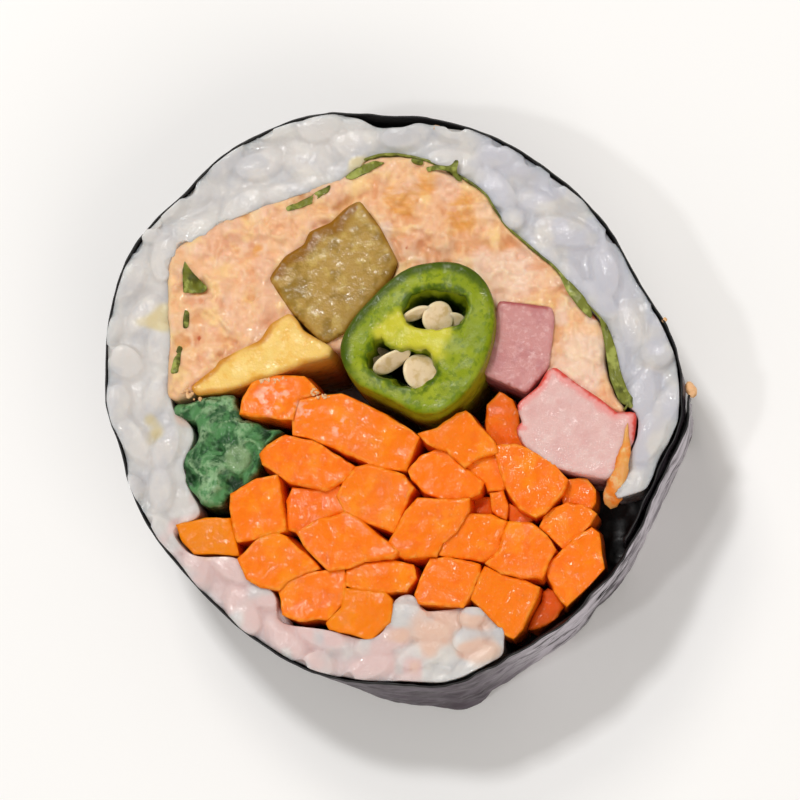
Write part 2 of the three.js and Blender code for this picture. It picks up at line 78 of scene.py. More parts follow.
def noise(points: Array, size: float, seed: int = 0) -> Array:
    """Smooth random bumps.

    Args:
        points: Places in mm, one row each, with two or three columns.
        size: Distance from bump to bump in mm.
        seed: Chooses another pattern.

    Returns:
        A value from -1 to 1 for each place.
    """
    place = np.zeros((len(points), 3))
    place[:, : points.shape[1]] = points
    place = place / size + 37.7 * seed + 1000.0
    cell = np.floor(place).astype(np.int64)
    part = place - cell
    ease = part * part * part * (part * (part * 6 - 15) + 10)
    total = np.zeros(len(points))
    for corner in itertools.product((0, 1), repeat=3):
        spot = cell + corner
        mixed = spot[:, 0] * 73856093 ^ spot[:, 1] * 19349663 ^ spot[:, 2] * 83492791
        mixed = (mixed ^ (mixed >> 13)) * 1274126177 & 0x7FFFFFFF
        mixed = (mixed ^ (mixed >> 16)) & 0xFFFF
        weight = np.prod(np.where(corner, ease, 1 - ease), axis=1)
        total += weight * (mixed / 32767.5 - 1)
    return total


def rough(points: Array, size: float, seed: int = 0, octaves: int = 3) -> Array:
    """Noise with finer and weaker bumps laid over it.

    Args:
        points: Places in mm.
        size: Distance between the largest bumps in mm.
        seed: Chooses another pattern.
        octaves: Number of layers, each half the size of the one before.

    Returns:
        A value of about -1 to 1 for each place.
    """
    layers = range(octaves)
    total = sum(noise(points, size / 2**i, seed + i) / 2**i for i in layers)
    return total / sum(1 / 2**i for i in layers)


def fade(value: Array, start: float, end: float) -> Array:
    """A smooth step from 0 where the value is start to 1 where it is end."""
    share = np.clip((np.asarray(value, float) - start) / (end - start), 0, 1)
    return share * share * (3 - 2 * share)


def length_along(line: Array, closed: bool) -> Array:
    """Distance travelled at each point of a line, with the way back to the first if it is closed."""
    ends = np.vstack([line, line[:1]]) if closed else line
    return np.concatenate([[0], np.cumsum(np.linalg.norm(np.diff(ends, axis=0), axis=1))])


def resample(line: Array, spacing: float, closed: bool = True) -> Array:
    """A line with its points at equal distances.

    Args:
        line: The points, one row each.
        spacing: Wanted distance between points in mm.
        closed: Whether the line runs back to its first point.

    Returns:
        The new points.
    """
    travelled = length_along(line, closed)
    ends = np.vstack([line, line[:1]]) if closed else line
    steps = max(8, round(travelled[-1] / spacing))
    places = np.linspace(0, travelled[-1], steps + 1)
    places = places[:-1] if closed else places
    return np.column_stack([np.interp(places, travelled, ends[:, i]) for i in range(2)])


def divide(loop: Array, spacing: float) -> Array:
    """A closed outline with its edges divided and its corners kept.

    Args:
        loop: The corners, one row each.
        spacing: Wanted distance between points in mm.

    Returns:
        The corners and the points between them.
    """
    size = np.linalg.norm(np.roll(loop, -1, axis=0) - loop, axis=1)
    loop = loop[size > 0.3 * spacing]
    parts = []
    for start, end in zip(loop, np.roll(loop, -1, axis=0)):
        steps = max(1, round(float(np.linalg.norm(end - start)) / spacing))
        parts.append(start + (end - start) * (np.arange(steps) / steps)[:, None])
    return np.vstack(parts)


def soften(loop: Array, passes: int) -> Array:
    """A closed outline with its corners rounded by averaging neighbours.

    Args:
        loop: A closed outline in mm.
        passes: How often it is averaged.

    Returns:
        The softened outline.
    """
    for _ in range(passes):
        loop = (np.roll(loop, 1, axis=0) + 2 * loop + np.roll(loop, -1, axis=0)) / 4
    return loop


def outward(line: Array, closed: bool = True) -> Array:
    """Unit vectors to the right of a line's run: out of a loop that turns left.

    Args:
        line: Points in mm, in order.
        closed: Whether it runs back to its first point.

    Returns:
        A unit vector for each point.
    """
    if closed:
        along = np.roll(line, -1, axis=0) - np.roll(line, 1, axis=0)
    else:
        along = np.gradient(line, axis=0)
    along = along / np.maximum(np.linalg.norm(along, axis=1, keepdims=True), 1e-9)
    return np.column_stack([along[:, 1], -along[:, 0]])


def grown(loop: Array, size: float | Array) -> Array:
    """A closed outline moved outwards, its corners kept sharp.

    Args:
        loop: The points, turning left round a piece.
        size: How far, in mm.

    Returns:
        The moved points.
    """
    step = np.roll(loop, -1, axis=0) - loop
    step = step / np.maximum(np.linalg.norm(step, axis=1, keepdims=True), 1e-9)
    out = np.column_stack([step[:, 1], -step[:, 0]])
    before = np.roll(out, 1, axis=0)
    corner = (out + before) / np.maximum(1 + (out * before).sum(axis=1), 0.6)[:, None]
    return loop + corner * np.broadcast_to(size, len(loop))[:, None]


def turning(loop: Array) -> float:
    """Signed area of a loop: positive where it turns left."""
    following = np.roll(loop, -1, axis=0)
    return float(np.sum(loop[:, 0] * following[:, 1] - following[:, 0] * loop[:, 1]) / 2)


def inside(points: Array, loop: Array) -> Array:
    """Whether each point lies inside a closed outline.

    Args:
        points: Places in mm, one row each.
        loop: A closed outline in mm.

    Returns:
        True for each point that does.
    """
    found = np.zeros(len(points), bool)
    following = np.roll(loop, -1, axis=0)
    rise = following[:, 1] - loop[:, 1]
    slope = (following[:, 0] - loop[:, 0]) / np.where(np.abs(rise) < 1e-12, 1e-12, rise)
    for start in range(0, len(points), 4000):
        x, y = points[start : start + 4000, :1], points[start : start + 4000, 1:2]
        spans = (loop[:, 1] > y) != (following[:, 1] > y)
        left = x < loop[:, 0] + (y - loop[:, 1]) * slope
        found[start : start + 4000] = (spans & left).sum(axis=1) % 2 == 1
    return found


@dataclass
class Nearest:
    """The nearest place on a set of outlines, for each of many points."""

    distance: Array
    place: Array
    facing: Array  # unit vector out of the piece there
    loop: Array  # number of the outline


def nearest(points: Array, loops: Sequence[Array]) -> Nearest:
    """Finds the nearest place on the outlines.

    Args:
        points: Places in mm.
        loops: Closed outlines, the outer one turning left and the holes right.

    Returns:
        Distance, place, direction and outline for each point.
    """
    start = np.vstack(loops)
    step = np.vstack([np.roll(loop, -1, axis=0) - loop for loop in loops])
    facing = np.vstack([outward(loop) for loop in loops])
    number = np.concatenate([np.full(len(loop), i) for i, loop in enumerate(loops)])
    squared = np.maximum((step**2).sum(axis=1), 1e-12)
    count = len(points)
    found = Nearest(np.zeros(count), np.zeros((count, 2)), np.zeros((count, 2)), np.zeros(count, int))
    for first in range(0, len(points), 4000):
        some = slice(first, first + 4000)
        away = points[some, None, :] - start
        share = np.clip((away * step).sum(axis=2) / squared, 0, 1)
        gap = away - share[..., None] * step
        reach = (gap**2).sum(axis=2)
        best = reach.argmin(axis=1)
        row = np.arange(len(best))
        found.distance[some] = np.sqrt(reach[row, best])
        found.place[some] = points[some] - gap[row, best]
        found.facing[some] = facing[best]
        found.loop[some] = number[best]
    return found


def cut_loops(node: str, height: float) -> list[Array]:
    """The outlines of a CAD node where a level plane cuts it.

    Args:
        node: The node's name.
        height: The plane's height in mm.

    Returns:
        Closed outlines in mm, the largest first. It turns left and the others right.
    """
    bm = bmesh.new()
    bm.from_mesh(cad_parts[node].data)
    bmesh.ops.remove_doubles(bm, verts=bm.verts, dist=1e-6)
    everything = bm.verts[:] + bm.edges[:] + bm.faces[:]
    level = Vector((0, 0, height * MM))
    cut = bmesh.ops.bisect_plane(bm, geom=everything, plane_co=level, plane_no=(0, 0, 1))
    bm.verts.index_update()
    bm.verts.ensure_lookup_table()
    joined: dict[int, list[int]] = {}
    for edge in cut["geom_cut"]:
        if isinstance(edge, bmesh.types.BMEdge):
            here, there = (vert.index for vert in edge.verts)
            joined.setdefault(here, []).append(there)
            joined.setdefault(there, []).append(here)
    loops = []
    while joined:
        path = [next(iter(joined))]
        following = joined[path[0]][0]
        while following != path[0]:
            before = path[-1]
            path.append(following)
            following = next(v for v in joined[path[-1]] if v != before)
        loops.append(np.array([bm.verts[i].co[:2] for i in path]) / MM)
        for vert in path:
            del joined[vert]
    bm.free()
    loops.sort(key=lambda loop: -abs(turning(loop)))
    wanted = [1] + [-1] * (len(loops) - 1)
    return [loop if turning(loop) * sign > 0 else loop[::-1] for loop, sign in zip(loops, wanted)]


@dataclass(frozen=True)
class Level:
    """A sloping plane: height = across * x + away * y + base, in mm."""

    across: float
    away: float
    base: float

    def at(self, points: Array) -> Array:
        """Height over each point."""
        return self.across * points[:, 0] + self.away * points[:, 1] + self.base


def top_level(node: str) -> Level:
    """The plane of a CAD node's upper end.

    Args:
        node: The CAD node's name.

    Returns:
        The plane.
    """
    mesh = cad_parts[node].data
    half = SLICE_HEIGHT * MM / 2
    faces = [f for f in mesh.polygons if f.normal.z > 0.9 and f.center.z > half]
    corners = np.array([mesh.vertices[i].co for f in faces for i in f.vertices]) / MM
    design = np.column_stack([corners[:, :2], np.ones(len(corners))])
    return Level(*np.linalg.lstsq(design, corners[:, 2], rcond=None)[0])


def reach(loop: Array, degrees: Array) -> Array:
    """How far an outline stands from the roll's middle line, at its outermost, at each angle.

    Args:
        loop: A closed outline in mm.
        degrees: Directions round the roll.

    Returns:
        The distance in mm, 0 where no part of it lies.
    """
    start = loop - ROLL_AXIS
    step = np.roll(start, -1, axis=0) - start
    turn = np.radians(degrees)[:, None]
    ray_x, ray_y = np.cos(turn), np.sin(turn)
    across = ray_x * step[:, 1] - ray_y * step[:, 0]
    across = np.where(np.abs(across) < 1e-9, 1e-9, across)
    far = (start[:, 0] * step[:, 1] - start[:, 1] * step[:, 0]) / across
    share = (start[:, 0] * ray_y - start[:, 1] * ray_x) / across
    return np.where((share >= 0) & (share <= 1), far, 0).max(axis=1)


class Roll:
    """How the slice spreads or narrows from its upper cut face down to its foot."""

    TOP_CUT = 16.5  # mm, where the seaweed is measured
    FOOT_CUT = 0.5
    # [degrees round the roll, mm by which the rice presses the seaweed out]
    PRESSED = ((0, 0.1), (25, 0.2), (40, 0.45), (80, 0.55), (140, 0.65), (200, 0.55), (220, 0.4),
               (238, 0.0), (305, 0.0), (315, -0.15), (340, 0.0), (360, 0.1))

    def __init__(self) -> None:
        """Measures the seaweed near both faces."""
        self.degrees = np.arange(0.0, 361.0, 2.0)
        upper = reach(cut_loops("gim", self.TOP_CUT)[0], self.degrees)
        lower = reach(cut_loops("gim", self.FOOT_CUT)[0], self.degrees)
        self.spread = (lower / upper - 1) / (self.TOP_CUT - self.FOOT_CUT)
        self.rim = upper

    def angle(self, points: Array) -> Array:
        """Direction of each point from the roll's middle line, from 0 to 360 degrees."""
        away = points[:, :2] - ROLL_AXIS
        return np.degrees(np.arctan2(away[:, 1], away[:, 0])) % 360

    def factor(self, points: Array, height: Array | float) -> Array:
        """How much farther from the middle line a point lies at a height than on the cut face."""
        spread = np.interp(self.angle(points), self.degrees, self.spread)
        return 1 + spread * (SLICE_HEIGHT - np.asarray(height))

    def settle(self, points: Array, height: Array | float) -> Array:
        """Takes points of the cut face down to their place at a height.

        Args:
            points: Places in mm, one row each.
            height: The height of each point, or of all, in mm.

        Returns:
            The moved points.
        """
        away = points - ROLL_AXIS
        angle = self.angle(points)
        share = np.linalg.norm(away, axis=1) / np.interp(angle, self.degrees, self.rim)
        pressed = np.interp(angle, *zip(*self.PRESSED)) * fade(share, 0.8, 1.0)
        far = np.maximum(np.linalg.norm(away, axis=1), 1.0)
        return ROLL_AXIS + away * (self.factor(points, height) + pressed / far)[:, None]

    def to_face(self, points: Array, height: Array | float) -> Array:
        """Takes points at a height up to their place on the cut face."""
        return ROLL_AXIS + (points - ROLL_AXIS) / self.factor(points, height)[:, None]

    def outlines(self, node: str, height: float, spacing: float, passes: int) -> list[Array]:
        """A node's outlines, brought up to the cut face, evenly spaced and softened.

        Args:
            node: The CAD node's name.
            height: Where the node is cut, in mm.
            spacing: Distance between points in mm.
            passes: How often the corners are averaged.

        Returns:
            The closed outlines, the outer one first.
        """
        loops = [self.to_face(loop, height) for loop in cut_loops(node, height)]
        return [soften(divide(loop, spacing), passes) for loop in loops]


ROLL = Roll()


# ---------------------------------------------------------------- finishes


def linear(color: str) -> tuple[float, float, float, float]:
    """A hex sRGB colour as the linear values that a shader takes."""
    parts = [int(color[i : i + 2], 16) / 255 for i in (1, 3, 5)]
    return (*[p / 12.92 if p <= 0.04045 else ((p + 0.055) / 1.055) ** 2.4 for p in parts], 1.0)


def add(tree: Tree, kind: str, settings: dict | None = None,
        links: dict | None = None) -> bpy.types.Node:
    """Adds a node to a tree.

    Args:
        tree: The tree.
        kind: The node's type.
        settings: Values by name of a property, or by name or number of an input.
        links: Output sockets by name or number of the input that they feed.

    Returns:
        The new node.
    """
    node = tree.nodes.new(kind)
    for key, value in (settings or {}).items():
        if isinstance(key, str) and hasattr(node, key):
            setattr(node, key, value)
        else:
            node.inputs[key].default_value = value
    for key, socket in (links or {}).items():
        tree.links.new(socket, node.inputs[key])
    return node


@dataclass(frozen=True)
class Patch:
    """A colour laid over the ones before it, where a pattern or a painted value is strong."""

    color: str
    strength: float = 1.0
    size_mm: float = 0.0  # distance from blotch to blotch; 0 for no pattern
    low: float = 0.45  # the pattern fades in between these two values
    high: float = 0.65
    painted: str = ""  # attribute of the mesh, which fades in between the next two values
    start: float = 0.0
    end: float = 1.0
    stretch: tuple[float, float, float] = (1.0, 1.0, 1.0)
    detail: float = 3.0


@dataclass(frozen=True)
class Bump:
    """Fine relief that the mesh is too coarse for."""

    size_mm: float
    height_mm: float
    stretch: tuple[float, float, float] = (1.0, 1.0, 1.0)


# Water and sesame oil stand on a cut face in uneven beads, drawn a little coarser than they are.
BEADS_MM = 1.1  # distance from one patch of beads to the next
FILM_IOR = 1.36  # water with a little oil and starch
FILM_ROUGHNESS = 0.09
FILM_DULLS = 0.8  # share of the food's own reflection that a film takes away
GLINTS = Bump(0.5, 0.13)
FINE_GLINTS = Bump(0.36, 0.095)


@dataclass(frozen=True)
class Finish:
    """A surface: what the shader's own sockets hold, the colour patches and the fine relief."""

    name: str
    color: str
    roughness: float
    ior: float = 1.4
    dull: float = 0.0  # how much rougher it gets in blotches
    dull_mm: float = 1.5
    scatter: float = 0.0  # weight of the light that enters and comes out again
    scatter_mm: tuple[float, float, float] = (1.0, 1.0, 1.0)
    wet: float = 0.0  # weight of the film of water
    glints: Bump | None = None  # relief of the film, which breaks its reflections up
    shallow: float = 0.3  # share of that relief which the food below has too
    patches: tuple[Patch, ...] = ()
    bumps: tuple[Bump, ...] = ()

    def pattern(
        self, tree: Tree, size_mm: float, stretch: Sequence[float],
        seed: float, detail: float = 3.0,
    ) -> Socket:
        """Adds a pattern of one size.

        Args:
            tree: The material's tree.
            size_mm: Distance from blotch to blotch.
            stretch: How much finer the pattern is along each axis.
            seed: Chooses another pattern.
            detail: Finer layers over the first.

        Returns:
            The pattern's value, about 0.5 in the middle.
        """
        place = add(tree, "ShaderNodeTexCoord").outputs["Object"]
        turned = add(tree, "ShaderNodeMapping", {"Scale": stretch}, {"Vector": place})
        shape = {"Scale": 1 / (size_mm * MM), "noise_dimensions": "4D", "W": seed, "Detail": detail}
        return add(tree, "ShaderNodeTexNoise", shape, {"Vector": turned.outputs[0]}).outputs[0]

    def mask(self, tree: Tree, patch: Patch, seed: float) -> Socket:
        """Adds the strength of a patch at each place.

        Args:
            tree: The material's tree.
            patch: The patch.
            seed: Chooses its pattern.

        Returns:
            The socket that holds the strength.
        """
        found = []
        ranges = {"interpolation_type": "SMOOTHSTEP"}
        if patch.size_mm:
            value = self.pattern(tree, patch.size_mm, patch.stretch, seed, patch.detail)
            limits = {"From Min": patch.low, "From Max": patch.high}
            found.append(add(tree, "ShaderNodeMapRange", {**ranges, **limits}, {"Value": value}))
        if patch.painted:
            value = add(tree, "ShaderNodeAttribute", {"attribute_name": patch.painted}).outputs["Fac"]
            limits = {"From Min": patch.start, "From Max": patch.end}
            found.append(add(tree, "ShaderNodeMapRange", {**ranges, **limits}, {"Value": value}))
        found[0].inputs["To Max"].default_value = patch.strength
        if len(found) == 1:
            return found[0].outputs[0]
        both = {number: step.outputs[0] for number, step in enumerate(found)}
        return add(tree, "ShaderNodeMath", {"operation": "MULTIPLY"}, both).outputs[0]

    def relief(self, tree: Tree, bump: Bump, seed: float,
               under: Socket | None) -> Socket:
        """Adds one layer of relief.

        Args:
            tree: The material's tree.
            bump: The relief's size and height.
            seed: Chooses its pattern.
            under: The layer below.

        Returns:
            The socket that holds the normal.
        """
        height = self.pattern(tree, bump.size_mm, bump.stretch, seed, 2.0)
        depth = {"Distance": bump.height_mm * MM, "Strength": 1.0}
        links = {"Height": height, **({"Normal": under} if under else {})}
        return add(tree, "ShaderNodeBump", depth, links).outputs[0]

    def build(self) -> bpy.types.Material:
        """Makes the material.

        Returns:
            The material.
        """
        material = bpy.data.materials.new(self.name)
        material.use_nodes = True
        tree = material.node_tree
        shader = tree.nodes["Principled BSDF"]
        values = {
            "Base Color": linear(self.color), "Roughness": self.roughness, "IOR": self.ior,
            "Subsurface Weight": self.scatter, "Subsurface Radius": self.scatter_mm,
            "Subsurface Scale": MM, "Coat Weight": self.wet, "Coat IOR": FILM_IOR,
            "Coat Roughness": FILM_ROUGHNESS,
            # Food under a film of water hardly reflects: the film does.
            "Specular IOR Level": 0.5 * (1 - FILM_DULLS * self.wet),
        }
        for name, value in values.items():
            shader.inputs[name].default_value = value
        tint = None
        for number, patch in enumerate(self.patches):
            colors = {"data_type": "RGBA", 6: linear(self.color), 7: linear(patch.color)}
            links = {0: self.mask(tree, patch, 3.1 * number)}
            links.update({6: tint} if tint else {})
            tint = add(tree, "ShaderNodeMix", colors, links).outputs[2]
        if tint:
            tree.links.new(tint, shader.inputs["Base Color"])
        normal = None
        for number, bump in enumerate(self.bumps):
            normal = self.relief(tree, bump, 50.0 + number, normal)
        if normal:
            tree.links.new(normal, shader.inputs["Normal"])
        if self.glints:
            shallow = Bump(self.glints.size_mm, self.shallow * self.glints.height_mm)
            tree.links.new(self.relief(tree, shallow, 70.0, normal), shader.inputs["Normal"])
            film = self.relief(tree, self.glints, 70.0, normal)
            tree.links.new(film, shader.inputs["Coat Normal"])
            value = self.pattern(tree, BEADS_MM, (1, 1, 1), 80.0)
            limits = {"From Min": 0.44, "From Max": 0.6, "To Min": 0.1 * self.wet, "To Max": self.wet}
            beads = add(tree, "ShaderNodeMapRange", limits, {"Value": value})
            tree.links.new(beads.outputs[0], shader.inputs["Coat Weight"])
        if self.dull:
            value = self.pattern(tree, self.dull_mm, (1, 1, 1), 90.0)
            limits = {"To Min": self.roughness, "To Max": self.roughness + self.dull,
                      "From Min": 0.35, "From Max": 0.7}
            blotches = add(tree, "ShaderNodeMapRange", limits, {"Value": value})
            tree.links.new(blotches.outputs[0], shader.inputs["Roughness"])
        return material


# Roasted seaweed, dried in thin sheets: nearly black. Its dull purple-grey sheen is painted into the
# colour, as a purple-grey base, lighter blotches and a paler painted sheen at the right and lower right.
SEAWEED = Finish(
    "roasted_seaweed", "#463b43", 0.4, 1.45, dull=0.25, dull_mm=1.2,
    patches=(
        # lighter blotches: painted sheen
        Patch("#6a5f6b", 0.7, 3.4, 0.4, 0.66, stretch=(0.7, 0.7, 1.8), detail=8),
        # painted sheen where the mesh's pale value is strong: the right and lower right, away from the
        # rim
        Patch("#cbc4cd", 0.9, 5.0, 0.32, 0.5, painted="pale", stretch=(0.8, 0.8, 1.6), detail=4),
        Patch("#2a2027", 0.92, 4.4, 0.53, 0.6, painted="pale", stretch=(0.6, 0.6, 2.2), detail=5),
        Patch("#2c232b", 0.6, 2.2, 0.5, 0.7, stretch=(0.5, 0.5, 2.4), detail=8),
        Patch("#1d161b", 0.7, 1.2, 0.58, 0.68, stretch=(0.4, 0.4, 2.6), detail=5),
        Patch("#0d0b0c", 0.97, painted="inner", start=0.2, end=0.6),
        Patch("#0c0b0d", 0.95, painted="rim", start=0.3, end=0.9),
    ),
    bumps=(Bump(2.2, 0.2, (0.7, 0.7, 1.8)), Bump(0.5, 0.04, (1, 1, 1.5))),
)
# Cooked short-grain rice: moist starch, so light sinks in and the skin glints. Lighter blotches are
# painted highlight, and the creases between grains are darkened as painted shade.
COOKED_RICE = Finish(
    "cooked_rice", "#d6d2cf", 0.3, 1.4, dull=0.2, dull_mm=0.9, scatter=0.85,
    scatter_mm=(2.2, 1.9, 1.7), wet=1.0, glints=FINE_GLINTS,
    patches=(
        Patch("#bdbec4", 0.6, 3.2, 0.42, 0.66),
        # lighter blotches: painted highlight
        Patch("#e2ded8", 0.6, 2.2, 0.5, 0.7),
        Patch("#c5c5cf", 0.75, painted="cool"),
        Patch("#dfc1be", 0.85, painted="lilac"),
        Patch("#e2c0ad", 0.9, painted="creamy"),
        Patch("#d9c893", 0.75, painted="stained"),
        # painted shade in the creases between grains
        Patch("#b1abaa", 0.4, painted="crease"),
    ),
    bumps=(Bump(1.0, 0.05), Bump(0.4, 0.02)),
)
# Fresh perilla leaf, wilted a little: matt green with paler veins and a darker back.
PERILLA = Finish(
    "perilla_leaf", "#73782c", 0.5, 1.4, dull=0.2, wet=0.6, glints=FINE_GLINTS,
    patches=(
        Patch("#a6ad58", 0.85, 1.0, 0.48, 0.62),
        Patch("#454a1d", 0.9, 1.7, 0.5, 0.62),
        Patch("#4f5527", 0.8, painted="back"),
    ),
    bumps=(Bump(0.5, 0.06),),
)
# Flaked tuna mashed with dressing: creamy peach, pinker where the flakes show through, and darker in the
# hollows of its relief as painted shade.
TUNA_SALAD = Finish(
    "tuna_salad", "#efc093", 0.42, 1.42, dull=0.25, scatter=0.3, scatter_mm=(1.3, 0.8, 0.45),
    wet=0.9, glints=GLINTS,
    patches=(
        Patch("#ecbb9c", 0.8, 4.0, 0.42, 0.62),
        Patch("#f6cf92", 0.8, 2.8, 0.48, 0.64),
        Patch("#dd9c76", 0.5, 1.5, 0.5, 0.68),
        Patch("#f1d2ba", 0.4, 1.7, 0.5, 0.72, detail=1),
        # painted shade in the hollows of the relief
        Patch("#d68f58", 0.55, painted="hollow"),
        Patch("#e3a04a", 0.8, 1.6, 0.35, 0.6, painted="oily", stretch=(0.5, 1.8, 1.0)),
        Patch("#efd3bf", 0.7, painted="pale"),
        Patch("#b9552f", 0.9, painted="speck"),
    ),
    bumps=(Bump(0.9, 0.09), Bump(0.25, 0.04)),
)
# Long-pickled radish: olive and slightly clear, browner where the skin was.
PICKLED_RADISH = Finish(
    "pickled_radish", "#b08d45", 0.3, 1.42, dull=0.3, dull_mm=0.4, scatter=0.3,
    scatter_mm=(1.2, 0.9, 0.2), wet=1.0, glints=FINE_GLINTS,
    patches=(
        Patch("#c4a65c", 0.8, 1.3, 0.5, 0.64),
        Patch("#8a6a1c", 0.8, 2.0, 0.5, 0.64),
        Patch("#8f5f0c", 0.95, painted="rind"),
        # painted shade down the sides below the cut face
        Patch("#7a5414", 0.8, painted="side", start=0.3, end=1.0),
    ),
    bumps=(Bump(0.2, 0.02), Bump(0.6, 0.05)),
)
# Rolled omelette: set egg, smooth and wet where it was cut, fried brown on its outside.
OMELETTE = Finish(
    "omelette", "#f0c970", 0.3, 1.4, dull=0.2, scatter=0.25, scatter_mm=(1.2, 0.9, 0.3),
    wet=0.8, glints=GLINTS,
    patches=(
        Patch("#f4d583", 0.7, 2.0, 0.48, 0.66),
        Patch("#e8ac38", 0.7, 1.3, 0.5, 0.7),
        Patch("#c9821f", 0.9, painted="browned"),
        # painted shade down the sides below the cut face, over the fried brown of the outside
        Patch("#cc8426", 0.8, painted="side", start=0.3, end=1.0),
    ),
    bumps=(Bump(0.6, 0.05), Bump(0.2, 0.03)),
)
# Fresh green chili: waxy dark skin, wet pale flesh, spongy ribs inside. The chambers' walls darken with
# depth as painted shade, and the outer side below the cut face and the skin towards the lower right are
# lighter as painted light.
CHILI_POD = Finish(
    "green_chili", "#86960f", 0.38, 1.42, dull=0.2, dull_mm=0.6, scatter=0.2,
    scatter_mm=(0.8, 0.9, 0.3), wet=1.0, glints=FINE_GLINTS,
    patches=(
        Patch("#a6b02c", 0.7, 2.4, 0.42, 0.66, detail=5),
        Patch("#cfc83c", 0.95, painted="rib"),
        Patch("#dcd774", 0.7, 0.7, 0.54, 0.66, painted="rib"),
        Patch("#5f7808", 0.6, 0.45, 0.5, 0.62, painted="flesh"),
        Patch("#3f5a08", 0.9, 0.7, 0.3, 0.55, painted="spongy"),
        Patch("#3c5208", 0.92, painted="skin"),
        # painted shade down the chambers' walls
        Patch("#1a330a", 0.95, painted="deep"),
        # painted light: a lighter olive on the pod's outer side below the cut face
        Patch("#9a9c1a", 0.95, 2.2, 0.2, 0.4, painted="outside"),
    ),
    bumps=(Bump(0.9, 0.04), Bump(0.16, 0.05)),
)
# Chili seed: dry pale disc with a thicker rim.
SEED = Finish(
    "chili_seed", "#ecd3b0", 0.35, 1.45, scatter=0.3, scatter_mm=(0.6, 0.5, 0.3), wet=0.8, glints=GLINTS,
    patches=(Patch("#d2b47c", 0.8, 0.9, 0.45, 0.65), Patch("#f0dcb6", 0.8, painted="rim")),
    bumps=(Bump(0.3, 0.02),),
)
# Cooked ham: fine mince, pink and moist.
HAM = Finish(
    "cooked_ham", "#cd9290", 0.33, 1.4, dull=0.2, scatter=0.3, scatter_mm=(1.2, 0.6, 0.5),
    wet=0.9, glints=FINE_GLINTS,
    patches=(
        Patch("#dfb0ae", 0.6, 0.5, 0.5, 0.66),
        Patch("#bd7a7d", 0.6, 1.3, 0.5, 0.66),
        Patch("#a84f50", 0.85, painted="browned"),
        # painted shade down the sides below the cut face
        Patch("#8f4a4c", 0.9, painted="side", start=0.3, end=1.0),
    ),
    bumps=(Bump(0.5, 0.03), Bump(0.16, 0.03)),
)
# Crab stick: pressed white fish in fine fibres, dyed red on its outside only.
CRAB_STICK = Finish(
    "crab_stick", "#e1b9b4", 0.3, 1.4, dull=0.2, scatter=0.4, scatter_mm=(1.5, 0.9, 0.8),
    wet=0.9, glints=FINE_GLINTS,
    patches=(
        Patch("#ead0ca", 0.5, 1.4, 0.45, 0.7),
        Patch("#d8a5a2", 0.5, 2.2, 0.45, 0.7),
        Patch("#e8918c", 0.8, painted="blush"),
        Patch("#db4638", 0.95, painted="dye"),
        # painted shade down the sides below the cut face
        Patch("#b07772", 0.8, painted="side", start=0.3, end=1.0),
    ),
    bumps=(Bump(0.6, 0.04), Bump(0.16, 0.035)),
)
# Blanched spinach, squeezed dry: dark folded leaves, wet, with pale stems. The raised folds are
# lightened as painted highlight, the low folds and the sides darkened as painted shade.
SPINACH = Finish(
    "blanched_spinach", "#568a56", 0.25, 1.42, dull=0.2, dull_mm=0.7, scatter=0.1,
    scatter_mm=(0.4, 0.5, 0.3), wet=0.9, glints=GLINTS,
    patches=(
        Patch("#234d2a", 0.85, 1.5, 0.45, 0.58),
        # painted highlight on the raised folds
        Patch("#a3c496", 0.6, 0.5, 0.36, 0.58, painted="ridge"),
        Patch("#86a273", 0.8, painted="stem"),
        # painted shade in the low folds and down the sides
        Patch("#142e17", 0.9, painted="fold"),
    ),
    bumps=(Bump(0.5, 0.08), Bump(0.16, 0.05)),
)
# Lightly cooked carrot: firm, moist and evenly orange. Its cut edges are lightened as painted highlight,
# its sides and some whole batons darkened as painted shade.
CARROT = Finish(
    "cooked_carrot", "#fb7a0a", 0.36, 1.4, dull=0.25, dull_mm=0.8, scatter=0.2,
    scatter_mm=(1.3, 0.5, 0.08), wet=0.8, glints=GLINTS,
    patches=(
        Patch("#ff9214", 0.7, 2.6, 0.48, 0.66),
        Patch("#f26808", 0.6, 1.6, 0.5, 0.68),
        # painted highlight along the cut edges
        Patch("#ffa63a", 0.6, 0.8, 0.45, 0.6, painted="cut_edge"),
        Patch("#ee8400", 1.0, painted="golden"),
        # painted shade over whole batons
        Patch("#d44f06", 0.8, painted="shaded"),
        Patch("#f6b597", 0.85, 1.0, 0.46, 0.58, painted="smeared"),
        # painted shade down the sides below the cut face
        Patch("#e2560a", 0.8, painted="side", start=0.3, end=1.0),
    ),
    bumps=(Bump(0.9, 0.06), Bump(0.4, 0.03)),
)
# Crumbs of fried batter and egg that stick to the seaweed.
CRUMB = Finish(
    "crumb", "#efbd8c", 0.45, 1.4, scatter=0.2, scatter_mm=(0.6, 0.4, 0.2),
    patches=(Patch("#c98f52", 0.8, 0.5, 0.45, 0.65),),
    bumps=(Bump(0.25, 0.04),),
)
# Dressing that has run out of the salad, coloured by carrot.
SMEAR = Finish(
    "dressing_smear", "#e8a55a", 0.3, 1.4, scatter=0.25, scatter_mm=(1.2, 0.6, 0.2),
    wet=0.8, glints=GLINTS,
    patches=(Patch("#ef7f22", 0.9, 1.6, 0.42, 0.6), Patch("#efcf9a", 0.7, 1.0, 0.5, 0.66)),
    bumps=(Bump(0.4, 0.04),),
)


# ---------------------------------------------------------------- making pieces


MATERIALS: dict[str, bpy.types.Material] = {}


def dress(finish: Finish) -> bpy.types.Material:
    """The material of a finish, made once.

    Args:
        finish: The finish.

    Returns:
        The material.
    """
    if finish.name not in MATERIALS:
        MATERIALS[finish.name] = finish.build()
    return MATERIALS[finish.name]


